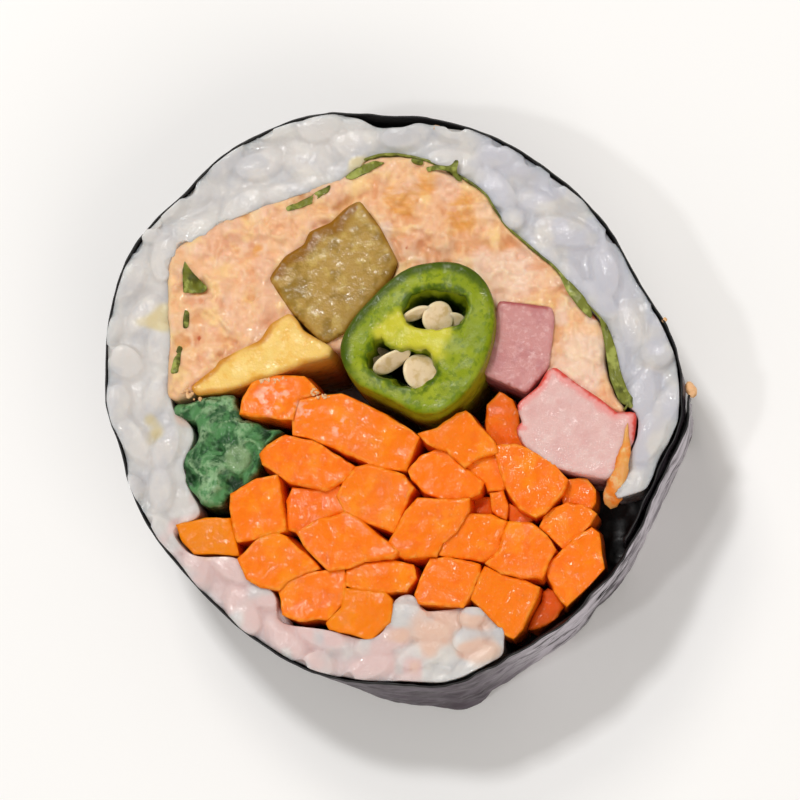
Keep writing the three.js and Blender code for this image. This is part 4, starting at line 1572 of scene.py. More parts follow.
@dataclass
class Rice:
    """Cooked rice between the seaweed and the filling: a core with real grains at both faces."""

    voxel: float = 0.225
    lower_voxel: float = 0.3
    grow: float = 0.5  # mm out to the seaweed
    grow_loose: float = 0.3  # mm out to the seaweed where it is loose
    grow_inside: float = 0.25  # mm to the fillings, where no leaf lies hidden between
    # [degrees round the roll, half width in degrees, mm by which the rice stands back there]
    notches: tuple[tuple[float, float, float], ...] = (
        (93, 6.5, 0.45), (117, 1.8, 0.6), (135, 2.2, 0.5), (144, 1.8, 0.6), (149, 1.8, 0.5),
        (79, 2.2, 0.5), (70, 1.8, 0.6), (62, 1.8, 0.6), (55, 2.2, 0.8), (250, 1.8, 0.6),
        (260, 1.8, 0.7), (205, 1.6, 0.5), (38, 1.8, 0.5), (170, 1.6, 0.5),
    )
    inset: float = 0.1  # least distance of a grain's middle from the rice's edge
    opening: float = -38.0  # degrees: direction of the gap without rice
    mean_radius: float = 24.0
    squeeze: float = 0.5  # grains have this share of their room across the ring
    depths: tuple[float, ...] = (1.2, 1.85)  # layers of grains below a face
    bed: tuple[float, float] = (0.6, 3.3)  # mm below a face that the grains have grown together
    bed_grow: float = 0.9
    core_depth: float = 0.85  # mm from a face to the core
    lip: float = 0.2  # mm that the rice stands up along the seaweed
    behind: float = 0.5  # mm that it stands back from its edge at the face, lower down
    flatten: float = 0.3  # what the knife leaves of the grains' tops
    flatten_from: float = 0.15  # depth below the face from which they are flattened
    cool: tuple[Spot, ...] = (Spot(22, 12, 12), Spot(12, 24, 9), Spot(24, 0, 8))
    lilac: tuple[Spot, ...] = (Spot(-18.5, -17, 8), Spot(-11, -23, 8), Spot(-2, -26.5, 7))
    creamy: tuple[Spot, ...] = (Spot(3.5, -22.5, 4.5), Spot(-19, -13.5, 3), Spot(8.5, -24.5, 3),
                                Spot(-21.6, -1.0, 1.4))
    stained: tuple[Spot, ...] = (Spot(-24.7, -3.0, 1.8), Spot(-23.8, 8.5, 2.6), Spot(-4, 24.2, 2.0))

    def build(self) -> None:
        """Makes the core and the grains of both faces."""
        outline = ROLL.outlines("rice", CUT_HEIGHT, 0.3, 2)[0]
        away = outward(outline)
        angle = ROLL.angle(outline)
        radial = (outline - ROLL_AXIS) / np.linalg.norm(outline - ROLL_AXIS, axis=1, keepdims=True)
        snug = ((angle < 100) | (angle > 200)) & ((away * radial).sum(axis=1) < 0.3)
        tight = (angle > 20) & (angle < 262)
        spread = np.where(snug, self.grow_inside, np.where(tight, self.grow, self.grow_loose))
        for middle, half, back in self.notches:
            spread = spread - back * (1 - fade(np.abs(angle - middle), 0.4 * half, half)) * ~snug
        self.outline = outline + spread[:, None] * away
        self.area = fill([self.outline], 0.5)
        self.scatterer = GrainScatter()
        core = Column("rice", COOKED_RICE, "rice", spacing=0.45, sway=0.1, grow=0.12, swell=0.1,
                      ease=0.6, foot=self.core_depth, top=SLICE_HEIGHT - self.core_depth,
                      relief=((2.6, 0.2), (1.2, 0.12)), levels=16)
        made = core.shape()
        made.paint = self.painted(made.vertices)
        place_piece("rice_core", made, COOKED_RICE, ("rice",))
        for face, voxel in ((Face.UPPER, self.voxel), (Face.LOWER, self.lower_voxel)):
            grains = self.cut(fuse(self.grains(face), voxel), face)
            place_piece(f"rice_{face.value}_grains", grains, COOKED_RICE, ("rice",))

    def ground(self, height: float) -> Shape:
        """The strip over which grains' middles are spread, squeezed along the ring.

        Args:
            height: Height in mm at which the grains will lie.

        Returns:
            The strip, with each point's place on the ring painted on it.
        """
        near = self.area.near
        angle = (ROLL.angle(self.area.points) - self.opening) % 360
        far = np.linalg.norm(self.area.points - ROLL_AXIS, axis=1)
        strip = np.column_stack([np.radians(angle) * self.mean_radius * self.squeeze, far])
        keep = near.distance >= self.inset
        corners = np.array(self.area.faces)
        whole = keep[corners].all(axis=1) & (np.ptp(angle[corners], axis=1) < 90)
        turned = corners[whole][:, ::-1]
        home = ROLL.settle(self.area.points, height)
        paint = {"home_x": home[:, 0], "home_y": home[:, 1],
                 "turn": np.radians(ROLL.angle(self.area.points)) + math.pi / 2}
        vertices = np.column_stack([strip, np.zeros(len(strip))])
        return Shape(vertices, turned.tolist(), paint)

    def grains(self, face: Face) -> Shape:
        """The layers of grains at one face.

        Args:
            face: The face.

        Returns:
            All the grains.
        """
        upper = face is Face.UPPER
        layers = []
        for number, depth in enumerate(self.depths):
            height = SLICE_HEIGHT - depth if upper else depth
            seed = 5 + number + (0 if upper else 40)
            layers.append(self.scatterer.scatter(self.ground(height), seed, {"Height": height}))
        high, low = self.bed
        foot, top = (SLICE_HEIGHT - low, SLICE_HEIGHT - high) if upper else (high, low)
        bed = Column("rice", COOKED_RICE, "rice", spacing=0.45, sway=0.0, grow=self.bed_grow, swell=0.0,
                     ease=0.2, foot=foot, top=top, relief=((2.4, 0.3), (1.1, 0.15)), levels=3)
        made = bed.shape()
        layers.append(Shape(made.vertices, made.faces))
        return join(layers)

    def cut(self, shape: Shape, face: Face) -> Shape:
        """Presses the grains into the roll and cuts them off at the face.

        Args:
            shape: The fused grains.
            face: The face.

        Returns:
            The grains inside the rice's outline, painted.
        """
        upper = face is Face.UPPER
        place = shape.vertices
        flat = ROLL.to_face(place[:, :2], place[:, 2])
        near = nearest(flat, [self.outline])
        depth = SLICE_HEIGHT - place[:, 2] if upper else place[:, 2]
        beyond = np.where(inside(flat, self.outline), -near.distance, near.distance)
        radial = flat - ROLL_AXIS
        radial = radial / np.maximum(np.linalg.norm(radial, axis=1, keepdims=True), 1e-9)
        against = fade((near.facing * radial).sum(axis=1), 0.3, 0.8)
        back = self.behind * fade(depth, 0.55, 1.3) * against
        flat = np.where(beyond[:, None] > 0, near.place + 0.04 * (flat - near.place), flat)
        flat = flat - near.facing * np.maximum(np.minimum(beyond, 0) + back, 0)[:, None]
        high = depth < self.flatten_from
        depth = np.where(high, self.flatten_from + (depth - self.flatten_from) * self.flatten, depth)
        outer = (near.facing * (flat - ROLL_AXIS)).sum(axis=1) > 0
        lip = self.lip * (1 - fade(near.distance, 0.0, 1.6)) * outer
        depth = depth - 0.06 + 0.16 * rough(flat, 4.5, 9) - lip
        # painted shade in the creases: darker the deeper a place lies below the face, between the grains
        crease = fade(depth, 0.35, 1.0)
        z = SLICE_HEIGHT - depth if upper else np.maximum(depth, 0.02)
        vertices = np.column_stack([ROLL.settle(flat, z), z])
        return Shape(vertices, shape.faces, {**self.painted(vertices), "crease": crease})

    def painted(self, points: Array) -> Paint:
        """Painted values for each vertex.

        Args:
            points: Places in mm, one row each.

        Returns:
            The values by name.
        """
        return {
            "cool": spotted(points, self.cool),
            "lilac": spotted(points, self.lilac),
            "creamy": spotted(points, self.creamy),
            "stained": spotted(points, self.stained),
            "crease": np.zeros(len(points)),
        }


# ---------------------------------------------------------------- fillings


@dataclass
class TunaSalad(Column):
    """Tuna salad: lumpy and shredded, and at its upper left closed over the leaf's edge."""

    spacing: float = 0.21
    ease: float = 0.45
    passes: int = 4
    sway: float = 0.12
    grow: float = 0.34
    over_leaf: float = 0.2  # mm that it spreads over the sunk leaf
    ragged: float = 0.22  # mm of unevenness of its edge
    oily: tuple[Spot, ...] = (Spot(0.3, 20.5, 2.2), Spot(5.8, 19.0, 2.4), Spot(2.5, 22.6, 1.8),
                              Spot(-14.5, 15.4, 1.2), Spot(-20.6, 11.8, 1.0), Spot(-11.4, 12.2, 0.9))
    specks: tuple[Spot, ...] = (Spot(-20.3, 6.7, 0.35), Spot(0.8, 15.6, 0.5), Spot(19.9, 8.5, 0.6))
    pale: tuple[Spot, ...] = (Spot(18.5, 4.5, 5.5), Spot(10.5, 12.5, 4.5), Spot(-2, 14.5, 4))

    def warp(self, points: Array, near: Nearest, depth: Array) -> Array:
        """Spreads the salad over the leaf near the cut face.

        Args:
            points: Places in mm, one row each.
            near: Nearest place on the outlines.
            depth: Depth below the nearer face, in mm.

        Returns:
            The moved points.
        """
        angle = ROLL.angle(points)
        hidden = fade(angle, 103, 109) * (1 - fade(angle, 140, 150))
        shallow = (1 - fade(depth, 0.9, 1.4)) * (1 - fade(near.distance, 0, 1.5))
        ragged = self.ragged * rough(points, 1.5, 31, 2) * (1 - fade(near.distance, 0, 0.8))
        ragged = ragged * (near.loop == 0)
        moved = points + near.facing * (self.over_leaf * hidden * shallow + ragged)[:, None]
        return super().warp(moved, near, depth)

    def height(self, points: Array, seed: int) -> Array:
        """Lumps with creases between them, and shreds over those.

        Args:
            points: Places in mm, one row each.
            seed: Chooses the pattern.

        Returns:
            The relief in mm.
        """
        bent = points + 0.8 * np.column_stack([noise(points, 2.2, seed + i) for i in (3, 4)])
        lumps = noise(bent, 1.9, seed)
        shreds = noise(bent * (1.0, 1.3), 1.0, seed + 1)
        crumbs = noise(points, 0.5, seed + 2)
        pits = fade(noise(points, 1.3, seed + 4), 0.3, 0.75)
        hills = 0.55 * rough(points, 6, seed + 9) + 0.45 * noise(points, 2.8, seed + 7)
        return hills + 0.48 * lumps + 0.36 * shreds + 0.22 * crumbs - 0.35 * pits

    def painted(self, place: Array, near: Nearest, depth: Array) -> Paint:
        """Painted values for each vertex.

        Args:
            place: The vertices in mm.
            near: Not used.
            depth: Not used.

        Returns:
            The values by name.
        """
        lift = self.height(place[:, :2], self.seed)
        return {
            # painted shade where the relief is low
            "hollow": fade(-lift, 0.1, 0.55) * 0.8,
            "oily": spotted(place, self.oily),
            "speck": spotted(place, self.specks),
            "pale": spotted(place, self.pale),
        }


@dataclass
class Pickle(Column):
    """A stick of pickled radish, browner along its upper left side."""

    def painted(self, place: Array, near: Nearest, depth: Array) -> Paint:
        """Painted values for each vertex.

        Args:
            place: The vertices in mm.
            near: Nearest place on the outlines.
            depth: Depth below the nearer face, in mm.

        Returns:
            The values by name.
        """
        skin_side = fade(near.facing @ np.array([-0.6, 0.8]), 0.2, 0.8)
        band = 1 - fade(near.distance + 0.6 * noise(place[:, :2], 1.3, 8), 0.3, 1.9)
        rim = 1 - fade(near.distance + 0.2 * noise(place[:, :2], 0.8, 9), 0.1, 0.55)
        base = super().painted(place, near, depth)
        return {"rind": np.maximum(skin_side * band, 0.55 * rim), "side": base["side"]}


@dataclass
class Egg(Column):
    """A strip of rolled omelette, fried brown on its outside."""

    def painted(self, place: Array, near: Nearest, depth: Array) -> Paint:
        """Painted values for each vertex.

        Args:
            place: The vertices in mm.
            near: Nearest place on the outlines.
            depth: Depth below the nearer face, in mm.

        Returns:
            The values by name.
        """
        rim = 1 - fade(near.distance + 0.35 * noise(place[:, :2], 1.2, 8), 0.15, 0.8)
        base = super().painted(place, near, depth)
        return {"browned": rim * (0.75 + 0.5 * noise(place[:, :2], 2.1, 5)), "side": base["side"]}


@dataclass
class Ham(Column):
    """A stick of cooked ham, with a darker line along its upper edge."""

    def painted(self, place: Array, near: Nearest, depth: Array) -> Paint:
        """Painted values for each vertex.

        Args:
            place: The vertices in mm.
            near: Nearest place on the outlines.
            depth: Depth below the nearer face, in mm.

        Returns:
            The values by name.
        """
        faced = fade(near.facing @ np.array([0.1, 1.0]), 0.7, 0.95)
        line = 1 - fade(near.distance + 0.14 * noise(place[:, :2], 0.8, 4), 0.15, 0.55)
        return {"browned": faced * line, "side": super().painted(place, near, depth)["side"]}


@dataclass
class CrabStick(Column):
    """A crab stick, dyed red on the sides that were its outside."""

    dyed: tuple[tuple[float, float], ...] = ((-0.8, 0.6), (0.45, 0.9), (1.0, 0.0))

    def painted(self, place: Array, near: Nearest, depth: Array) -> Paint:
        """Painted values for each vertex.

        Args:
            place: The vertices in mm.
            near: Nearest place on the outlines.
            depth: Depth below the nearer face, in mm.

        Returns:
            The values by name.
        """
        sides = np.array(self.dyed)
        sides = sides / np.linalg.norm(sides, axis=1, keepdims=True)
        faced = fade((near.facing @ sides.T).max(axis=1), 0.75, 0.95)
        ragged = near.distance + 0.25 * noise(place[:, :2], 0.9, 8)
        return {
            "dye": faced * (1 - fade(ragged, 0.05, 0.32)),
            "blush": faced * (1 - fade(ragged, 0.2, 1.3)),
            "side": super().painted(place, near, depth)["side"],
        }


@dataclass
class Spinach(Column):
    """A bunch of blanched spinach: folded leaves round a pale stem."""

    stem: tuple[float, float] = (-16.0, -5.7)
    stem_radius: float = 1.7
    ragged: float = 0.5  # mm of unevenness of the leaves' edges

    def outlines(self) -> list[Array]:
        """The outlines on the cut face, with ragged edges."""
        loops = super().outlines()
        return [loop + self.ragged * rough(loop, 1.6, 33, 3)[:, None] * outward(loop) for loop in loops]

    def height(self, points: Array, seed: int) -> Array:
        """Folds of the leaves, and the stem's disc standing over them.

        Args:
            points: Places in mm, one row each.
            seed: Chooses the pattern.

        Returns:
            The relief in mm.
        """
        bent = points + 0.8 * np.column_stack([noise(points, 2.4, seed + i) for i in (3, 4)])
        away = np.hypot(points[:, 0] - self.stem[0], points[:, 1] - self.stem[1])
        turn = np.arctan2(bent[:, 1] - self.stem[1], bent[:, 0] - self.stem[0])
        far = np.hypot(*(bent - self.stem).T)
        around = np.column_stack([far, 1.6 * np.cos(turn), 1.6 * np.sin(turn)])
        folds = 1 - np.abs(noise(around, 1.5, seed))
        fine = 1 - np.abs(noise(around * (1.0, 2.0, 2.0), 0.6, seed + 1))
        disc = 1 - fade(away + 0.15 * noise(points, 0.8, 6), 0.7 * self.stem_radius, self.stem_radius)
        lumps = 1.3 * (folds - 0.6) + 0.5 * (fine - 0.5) + 0.5 * rough(points, 4, seed + 8)
        return lumps * (1 - 0.85 * disc) + 0.35 * disc

    def painted(self, place: Array, near: Nearest, depth: Array) -> Paint:
        """Painted values for each vertex.

        Args:
            place: The vertices in mm.
            near: Not used.
            depth: Depth below the nearer face, in mm.

        Returns:
            The values by name.
        """
        lift = self.height(place[:, :2], self.seed)
        away = np.hypot(place[:, 0] - self.stem[0], place[:, 1] - self.stem[1])
        ring = 1 - fade(np.abs(away - 0.55 * self.stem_radius), 0.2, 0.8)
        return {"stem": (1 - fade(away, 0.8, 1.9)) * (0.45 + 0.4 * ring),
                # painted highlight on raised folds, painted shade in low folds and below the face
                "ridge": fade(lift, 0.15, 0.6),
                "fold": np.maximum(fade(-lift, 0.0, 0.5), 0.7 * fade(depth, 0.4, 1.5))}


@dataclass
class Carrot(Column):
    """One carrot baton."""

    golden: float = 0.0
    shaded: float = 0.0
    ragged: float = 0.0  # mm of unevenness of its cut edges
    clear: float = 0.95  # least distance to the seaweed's outside in mm
    smears: tuple[Spot, ...] = (Spot(-12.8, 0.9, 2.2), Spot(-9.4, -0.9, 1.6), Spot(-5.6, -2.6, 1.2))

    def outlines(self) -> list[Array]:
        """The outlines on the cut face, a little ragged."""
        loops = super().outlines()
        return [loop + self.ragged * rough(loop, 1.3, 33, 2)[:, None] * outward(loop) for loop in loops]

    def warp(self, points: Array, near: Nearest, depth: Array) -> Array:
        """Swells the baton, but not into the seaweed.

        Args:
            points: Places in mm, one row each.
            near: Nearest place on the outlines.
            depth: Depth below the nearer face, in mm.

        Returns:
            The moved points.
        """
        moved = super().warp(points, near, depth)
        away = moved - ROLL_AXIS
        far = np.maximum(np.linalg.norm(away, axis=1), 1.0)
        most = np.interp(ROLL.angle(moved), ROLL.degrees, ROLL.rim) - self.clear
        return ROLL_AXIS + away * np.minimum(1, most / far)[:, None]

    def painted(self, place: Array, near: Nearest, depth: Array) -> Paint:
        """Painted values for each vertex.

        Args:
            place: The vertices in mm.
            near: Nearest place on the outlines.
            depth: Depth below the nearer face, in mm.

        Returns:
            The values by name.
        """
        tone = np.ones(len(place))
        return {**super().painted(place, near, depth),
                "golden": self.golden * tone, "shaded": self.shaded * tone,
                "smeared": spotted(place, self.smears) * (1 - fade(depth, 0.2, 0.6))}


class Batons:
    """All the carrot batons, each with a tone of its own, some darkened as painted shade."""

    GOLDEN = {9: 1.0, 12: 0.5, 17: 0.3}
    # batons darkened as painted shade, by number
    SHADED = {6: 0.3, 20: 0.2, 25: 0.5, 26: 0.4, 27: 0.9, 28: 0.7, 29: 0.7}

    def build(self) -> None:
        """Makes the batons."""
        names = sorted(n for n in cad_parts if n.startswith("carrot_"))
        for number, name in enumerate(names, 1):
            top = min(v.co.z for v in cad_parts[name].data.vertices if v.co.z > 0.01) / MM
            Carrot(
                name, CARROT, "carrot", seed=number, cut_height=min(CUT_HEIGHT, top - 1.0),
                golden=self.GOLDEN.get(number, 0.12 * (number % 3)),
                shaded=self.SHADED.get(number, 0.0), passes=0, ease=0.1, spacing=0.24, grow=0.3,
                relief=((2.8, 0.26), (1.0, 0.12)), swell=0.3, ragged=0.14,
            ).build()


@dataclass
class Chili(Column):
    """A piece of green chili: the cut end is narrower than the pod below, with two seed chambers."""

    spacing: float = 0.22
    ease: float = 0.4
    passes: int = 3
    sway: float = 0.05
    levels: int = 22
    cut_height: float = 18.2
    pod_height: float = 15.0
    ragged: float = 0.3  # mm of unevenness of the chambers' edges
    chamber_waist: float = 0.45  # how much of its width a chamber loses inside the pod

    def outlines(self) -> list[Array]:
        """The outlines on the cut face, and the pod's spread below it.

        Returns:
            The closed outlines, the outer one first.
        """
        loops = super().outlines()
        pod = ROLL.outlines(self.node, self.pod_height, self.spacing, self.passes)[0]
        self.upright = loops[0][:, 1].max()
        self.spread = np.ptp(pod[:, 1]) / np.ptp(loops[0][:, 1])
        self.middles = [loop.mean(axis=0) for loop in loops]
        for number, loop in enumerate(loops[1:], 1):
            ragged = self.ragged * rough(loop, 1.1, 60 + number, 3)
            loops[number] = loop + ragged[:, None] * outward(loop)
        return loops

    def warp(self, points: Array, near: Nearest, depth: Array) -> Array:
        """Widens the pod below its cut end, and narrows the chambers inside it.

        Args:
            points: Places in mm, one row each.
            near: Nearest place on the outlines.
            depth: Depth below the nearer face, in mm.

        Returns:
            The moved points.
        """
        outer = (near.loop == 0) & (near.distance < 1e-6)
        wide = 1 + (self.spread - 1) * fade(depth, 0.0, 3.5) * outer
        moved = points.copy()
        moved[:, 1] = self.upright - (self.upright - points[:, 1]) * wide
        for number, middle in enumerate(self.middles[1:], 1):
            wall = (near.loop == number) & (near.distance < 1e-6)
            pull = self.chamber_waist * fade(depth, 0.5, 6.0) * wall
            moved += (middle - moved) * pull[:, None]
            spongy = rough(np.column_stack([points, depth]), 0.9, 5)
            ripple = 0.4 * spongy * wall * fade(depth, 0.1, 0.8)
            moved += near.facing * ripple[:, None]
        return moved

    def height(self, points: Array, seed: int) -> Array:
        """The flesh bulges a little between skin and chambers."""
        return 0.16 * rough(points, 2.2, seed) + 0.05 * noise(points, 0.7, seed + 3)

    def painted(self, place: Array, near: Nearest, depth: Array) -> Paint:
        """Painted values for each vertex.

        Args:
            place: The vertices in mm.
            near: Nearest place on the outlines.
            depth: Depth below the nearer face, in mm.

        Returns:
            The values by name.
        """
        flat = place[:, :2]
        outline = ROLL.outlines(self.node, self.cut_height, 0.5, 2)
        skin_gap = nearest(flat, [outline[0]]).distance
        room_gap = nearest(flat, outline[1:]).distance
        on_face = 1 - fade(depth, 0.3, 1.0)
        ragged = 0.12 * noise(flat, 0.7, 5)
        wall = (near.loop > 0) & (near.distance < 1e-6)
        outer = (near.loop == 0) & (near.distance < 1e-6)
        # The dark skin fades towards the lower right: painted light on the pod's lit side.
        shown = 0.25 + 0.75 * fade(near.facing @ np.array([-0.45, 0.9]), -0.7, 0.5)
        between = sum(nearest(flat, [room]).distance for room in outline[1:])
        rib = (1 - fade(between + 0.8 * noise(flat, 1.4, 9), 2.2, 4.6)) * on_face
        return {
            "rib": rib,
            "flesh": on_face * (1 - rib),
            "spongy": (1 - fade(room_gap + 0.3 * noise(flat, 0.6, 12), 0.1, 0.8)) * on_face * (1 - rib),
            "skin": np.maximum((1 - fade(skin_gap + ragged, 0.2, 1.2)) * on_face, outer) * shown,
            # painted shade down the chambers' walls
            "deep": wall * fade(depth, 0.6, 3.5),
            # painted light on the outer side below the cut face
            "outside": outer * fade(depth, 0.4, 1.5),
        }


def ring_faces(rings: int, count: int) -> list[tuple[int, ...]]:
    """Faces of rings of points that are closed by a point at either end.

    Args:
        rings: Number of rings.
        count: Points on each. The two end points come after all of them.

    Returns:
        The faces.
    """
    faces = []
    for k, i in itertools.product(range(rings - 1), range(count)):
        j = (i + 1) % count
        faces.append((k * count + i, (k + 1) * count + i, (k + 1) * count + j, k * count + j))
    first, last = rings * count, (rings - 1) * count
    for i in range(count):
        j = (i + 1) % count
        faces += [(first, i, j), (first + 1, last + j, last + i)]
    return faces


@dataclass
class SeedSet:
    """Flat round seeds in the chili's chambers: place, width and the way each one faces."""

    # x, y, height of the middle in mm, width, length, lean in degrees, turn in degrees
    upper: tuple[tuple[float, ...], ...] = (
        (1.9, 8.6, 18.2, 1.6, 3.0, 62, 20),
        (4.1, 8.1, 17.8, 3.2, 3.4, 22, 70),
        (-0.6, 3.7, 18.3, 2.2, 4.2, 48, 28),
        (2.6, 2.6, 17.8, 3.7, 3.9, 16, 130),
        (5.3, 7.7, 16.6, 3.0, 3.0, 40, 10),
        (-1.8, 4.6, 16.4, 2.8, 3.2, 60, 80),
    )
    lower: tuple[tuple[float, ...], ...] = (
        (2.6, 8.2, 1.7, 3.1, 3.4, 25, 50),
        (4.8, 8.6, 2.2, 2.8, 3.2, 50, 110),
        (0.2, 3.6, 1.8, 3.3, 3.6, 20, 20),
        (2.8, 2.4, 2.3, 3.0, 3.4, 45, 90),
    )
    thickness: float = 0.75
    segments: int = 36
    rings: int = 12

    def seed_shape(self, x: float, y: float, z: float, width: float, length: float,
                   lean: float, turn: float) -> Shape:
        """One seed.

        Args:
            x: Place of its middle in mm.
            y: Place of its middle in mm.
            z: Height of its middle in mm.
            width: Width in mm.
            length: Length in mm.
            lean: How far it leans out of the level, in degrees.
            turn: Direction of its length, in degrees.

        Returns:
            The seed, with its rim painted.
        """
        around = np.linspace(0, 2 * math.pi, self.segments, endpoint=False)
        rows, rim = [], []
        for k in range(1, self.rings):
            polar = math.pi * k / self.rings
            out, up = math.sin(polar) ** 0.7, math.cos(polar)
            thick = self.thickness * (0.62 + 0.38 * out**4)
            beak = 1 + 0.10 * np.cos(around)
            ring = np.column_stack([out * length / 2 * beak * np.cos(around),
                                    out * width / 2 * np.sin(around),
                                    np.full(self.segments, up * thick / 2)])
            rows.append(ring)
            rim.append(np.full(self.segments, fade(out, 0.78, 0.97)))
        ends = [np.array([[0, 0, self.thickness * 0.31]]), np.array([[0, 0, -self.thickness * 0.31]])]
        vertices = np.vstack([*rows, *ends])
        vertices[:, 2] += 0.12 * noise(vertices[:, :2] + x, 1.4, 3)
        faces = ring_faces(self.rings - 1, self.segments)
        move = Matrix.Rotation(math.radians(turn), 4, "Z") @ Matrix.Rotation(math.radians(lean), 4, "X")
        vertices = vertices @ np.array(move.to_3x3()).T + (x, y, z)
        return Shape(vertices, faces, {"rim": np.concatenate([*rim, [0, 0]])})

    def build(self) -> None:
        """Makes the seeds as one piece."""
        seeds = join([self.seed_shape(*row) for row in self.upper + self.lower])
        place_piece("chili_seeds", seeds, SEED)


@dataclass
class Blob:
    """A soft lump drawn out along a line: a crumb or a smear of salad."""

    line: tuple[tuple[float, float, float], ...]  # x, y and height in mm
    radii: tuple[float, ...]  # at each point of the line
    seed: int = 0
    flat: float = 0.6  # thickness as a share of the width
    segments: int = 24
    rings: int = 18

    def shape(self) -> Shape:
        """Builds the mesh: rings along the line, closed at both ends.

        Returns:
            The mesh in mm.
        """
        line, radii = np.array(self.line), np.array(self.radii)
        share = np.linspace(0, 1, self.rings)
        stops = np.linspace(0, 1, len(line))
        middle = np.column_stack([np.interp(share, stops, line[:, i]) for i in range(3)])
        for _ in range(3):
            middle[1:-1] = (middle[:-2] + 2 * middle[1:-1] + middle[2:]) / 4
        ends = np.sqrt(np.clip(1 - (2 * share - 1) ** 6, 0.0, 1))
        width = np.interp(share, stops, radii) * np.maximum(ends, 0.12)
        along = np.gradient(middle, axis=0)
        across = np.column_stack([-along[:, 1], along[:, 0], np.zeros(self.rings)])
        across /= np.maximum(np.linalg.norm(across, axis=1, keepdims=True), 1e-9)
        around = np.linspace(0, 2 * math.pi, self.segments, endpoint=False)
        rings = (middle[:, None, :] + across[:, None, :] * (width[:, None] * np.cos(around))[..., None]
                 + np.array([0, 0, self.flat]) * (width[:, None] * np.sin(around))[..., None])
        vertices = rings.reshape(-1, 3)
        bumps = [noise(vertices, 0.8, self.seed + i) for i in range(3)]
        vertices = vertices + 0.22 * width.max() * np.column_stack(bumps)
        vertices = np.vstack([vertices, middle[0], middle[-1]])
        turned = [(f[0], *f[:0:-1]) for f in ring_faces(self.rings, self.segments)]
        return Shape(vertices, turned)


class Scraps:
    """Crumbs on the seaweed, and what has rubbed off the fillings."""

    CRUMBS = (
        Blob(((26.6, 8.1, 16.8), (26.9, 7.8, 16.8)), (0.28, 0.25), 1),
        Blob(((28.9, 1.9, 15.6), (29.3, 1.0, 15.4), (29.5, 0.3, 15.3)), (0.35, 0.6, 0.4), 2),
        Blob(((3.4, 28.0, 16.9), (4.1, 27.9, 16.9)), (0.3, 0.25), 3),
    )
    SMEARS = (
        Blob(((23.1, -2.6, 17.8), (23.0, -4.6, 17.7), (22.6, -6.3, 17.3), (22.0, -8.0, 16.7),
              (21.6, -9.6, 15.9), (21.2, -10.8, 15.1)), (0.35, 0.5, 0.7, 0.95, 1.05, 0.8), 7, 0.7),
    )

    # [x, y of both ends, height, number of crumbs, scatter across, least and greatest radius in mm]
    TRAILS = (
        (-16.0, 1.9, -12.4, 2.3, 17.4, 16, 0.15, 0.1, 0.2),
        (-12.4, 2.3, -7.2, 0.4, 17.4, 70, 0.22, 0.07, 0.19),
        (-22.6, 1.7, -19.8, 0.2, 17.2, 24, 0.25, 0.1, 0.24),
    )

    def trail(self, seed: int, row: Sequence[float], flat: float) -> list[Shape]:
        """Small crumbs along a line.

        Args:
            seed: Chooses their places.
            row: A row of TRAILS.
            flat: Thickness as a share of the width.

        Returns:
            The crumbs.
        """
        x0, y0, x1, y1, height, count, scatter, least, most = row
        draw = np.random.default_rng(seed)
        crumbs = []
        for number in range(count):
            share, across = draw.random(), draw.normal(0, scatter, 2)
            x, y = x0 + (x1 - x0) * share + across[0], y0 + (y1 - y0) * share + across[1]
            radius = least + (most - least) * draw.random() ** 2
            turn, size = draw.random() * math.pi, radius * (0.8 + 0.9 * draw.random())
            step = (math.cos(turn) * size, math.sin(turn) * size)
            line = ((x - step[0], y - step[1], height), (x + step[0], y + step[1], height))
            crumbs.append(Blob(line, (radius, 0.7 * radius), number, flat, 9, 6).shape())
        return crumbs

    def build(self) -> None:
        """Makes the crumbs as one piece and the smears as another."""
        crumbs = [blob.shape() for blob in self.CRUMBS]
        for number, row in enumerate(self.TRAILS):
            crumbs += self.trail(number, row, 0.7)
        place_piece("crumbs", join(crumbs), CRUMB)
        place_piece("smears", join([blob.shape() for blob in self.SMEARS]), SMEAR)


# ---------------------------------------------------------------- stage


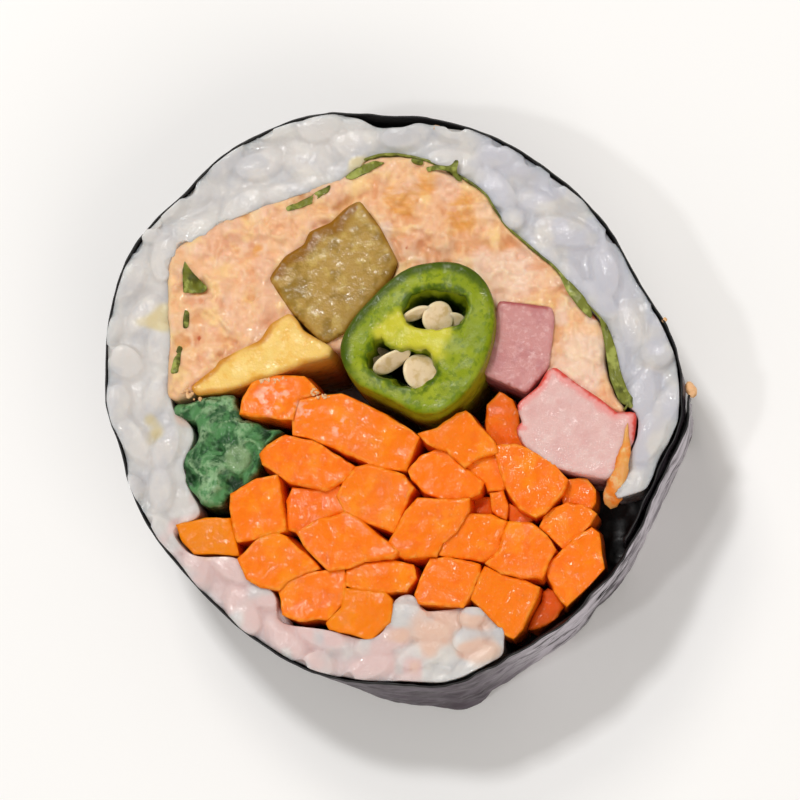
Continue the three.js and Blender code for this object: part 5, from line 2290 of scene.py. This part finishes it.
@dataclass
class Studio:
    """A pale floor, soft lights and the camera over the slice."""

    distance: float = 400.0  # mm from the cut face to the camera
    field_mm: float = 80.0  # width of the cut face's plane that the picture shows
    sensor: float = 36.0
    # [azimuth, height in degrees, watts, side in metres] of small lights that the film reflects
    sparks: tuple[tuple[float, ...], ...] = ((118, 66, 2.1, 0.085), (215, 66, 0.7, 0.05))

    def camera(self) -> None:
        """Puts the camera over the cut face, leaning to the lower right."""
        tilt, lean = math.radians(TILT_DEG), math.radians(LEAN_DEG)
        flat = Vector((math.cos(lean), math.sin(lean), 0))
        across = Vector((-math.sin(lean), math.cos(lean), 0))
        back = (math.sin(tilt) * flat + Vector((0, 0, math.cos(tilt)))).normalized()
        along = (flat - flat.dot(back) * back).normalized()
        right = math.cos(lean) * along - math.sin(lean) * across
        up = math.sin(lean) * along + math.cos(lean) * across
        matrix = Matrix((right, up, back)).transposed().to_4x4()
        target = Vector((ROLL_AXIS[0], ROLL_AXIS[1], SLICE_HEIGHT)) * MM
        matrix.translation = target + back * self.distance * MM
        data = bpy.data.cameras.new("camera")
        data.sensor_width = self.sensor
        data.lens = self.sensor * self.distance / self.field_mm
        camera = bpy.data.objects.new("camera", data)
        camera.matrix_world = matrix
        bpy.context.scene.collection.objects.link(camera)
        bpy.context.scene.camera = camera

    def light(self, name: str, watts: float, size: float, azimuth: float, height: float,
              distance: float, color: str = "#ffffff") -> None:
        """Adds a soft square light that looks at the slice.

        Args:
            name: Its name.
            watts: Its power.
            size: Its side in metres.
            azimuth: Its direction seen from above, in degrees from +X.
            height: Its height over the horizon in degrees.
            distance: Its distance in metres.
            color: Its colour.
        """
        data = bpy.data.lights.new(name, "AREA")
        data.energy = watts
        data.size = size
        data.color = linear(color)[:3]
        turn, rise = math.radians(azimuth), math.radians(height)
        way = Vector((math.cos(turn) * math.cos(rise), math.sin(turn) * math.cos(rise), math.sin(rise)))
        lamp = bpy.data.objects.new(name, data)
        lamp.location = way * distance
        lamp.rotation_euler = (-way).to_track_quat("-Z", "Y").to_euler()
        bpy.context.scene.collection.objects.link(lamp)

    def floor(self) -> None:
        """Adds the floor, wide enough for every view."""
        side, under = 3.0, -0.00003
        mesh = bpy.data.meshes.new("floor")
        ends = ((-1, -1), (1, -1), (1, 1), (-1, 1))
        corners = [(side * x, side * y, under) for x, y in ends]
        mesh.from_pydata(corners, [], [(0, 1, 2, 3)])
        mesh.materials.append(dress(Finish("pale_floor", "#fafafa", 0.7)))
        floor = bpy.data.objects.new("floor", mesh)
        bpy.context.scene.collection.objects.link(floor)

    def build(self) -> None:
        """Makes everything round the slice."""
        self.camera()
        self.floor()
        self.light("key", 1.15, 0.2, 112, 50, 0.75, "#fff8ee")
        self.light("fill", 2.35, 0.6, -52, 42, 0.9, "#fff8f0")
        for number, (azimuth, height, watts, size) in enumerate(self.sparks):
            self.light(f"spark_{number}", watts, size, azimuth, height, 0.8)
        world = bpy.data.worlds.new("studio")
        world.use_nodes = True
        world.node_tree.nodes["Background"].inputs["Color"].default_value = linear("#f7f4ef")
        world.node_tree.nodes["Background"].inputs["Strength"].default_value = 0.345
        bpy.context.scene.world = world
        bpy.context.scene.view_settings.view_transform = "Standard"


# ---------------------------------------------------------------- the slice


def main() -> None:
    """Builds the slice, from the seaweed inwards."""
    logging.basicConfig(level=logging.INFO, format="%(name)s %(message)s")
    Studio().build()
    Seaweed("gim", SEAWEED, "gim", thickness=0.17, spacing=0.3, levels=54, crinkle=0.65).build()
    Fold().build()
    PerillaLeaf("perilla_leaf", PERILLA, "perilla_leaf", thickness=0.2, spacing=0.25, levels=30,
                crinkle=0.2, edge_wave=0.45, seed=13).build()
    LeafBits().build()
    Rice().build()
    TunaSalad("tuna", TUNA_SALAD, "tuna").build()
    Pickle("pickle", PICKLED_RADISH, "pickle", seed=2, passes=1, ease=0.18,
           relief=((2.4, 0.1), (0.8, 0.04))).build()
    Egg("egg", OMELETTE, "egg", seed=3, passes=1, ease=0.2, relief=((2.6, 0.18), (1.0, 0.07))).build()
    Ham("ham", HAM, "ham", seed=4, relief=((2.4, 0.1), (0.8, 0.05)), passes=1, ease=0.15).build()
    CrabStick("crab_stick", CRAB_STICK, "crab_stick", seed=5, passes=1, ease=0.2, grow=0.32,
              relief=((2.4, 0.12), (0.8, 0.06))).build()
    Spinach("spinach", SPINACH, "spinach", spacing=0.2, seed=6, passes=3, sway=0.3).build()
    Chili("chili", CHILI_POD, "chili", seed=7).build()
    SeedSet().build()
    Batons().build()
    Scraps().build()


if __name__ == "__main__":
    main()
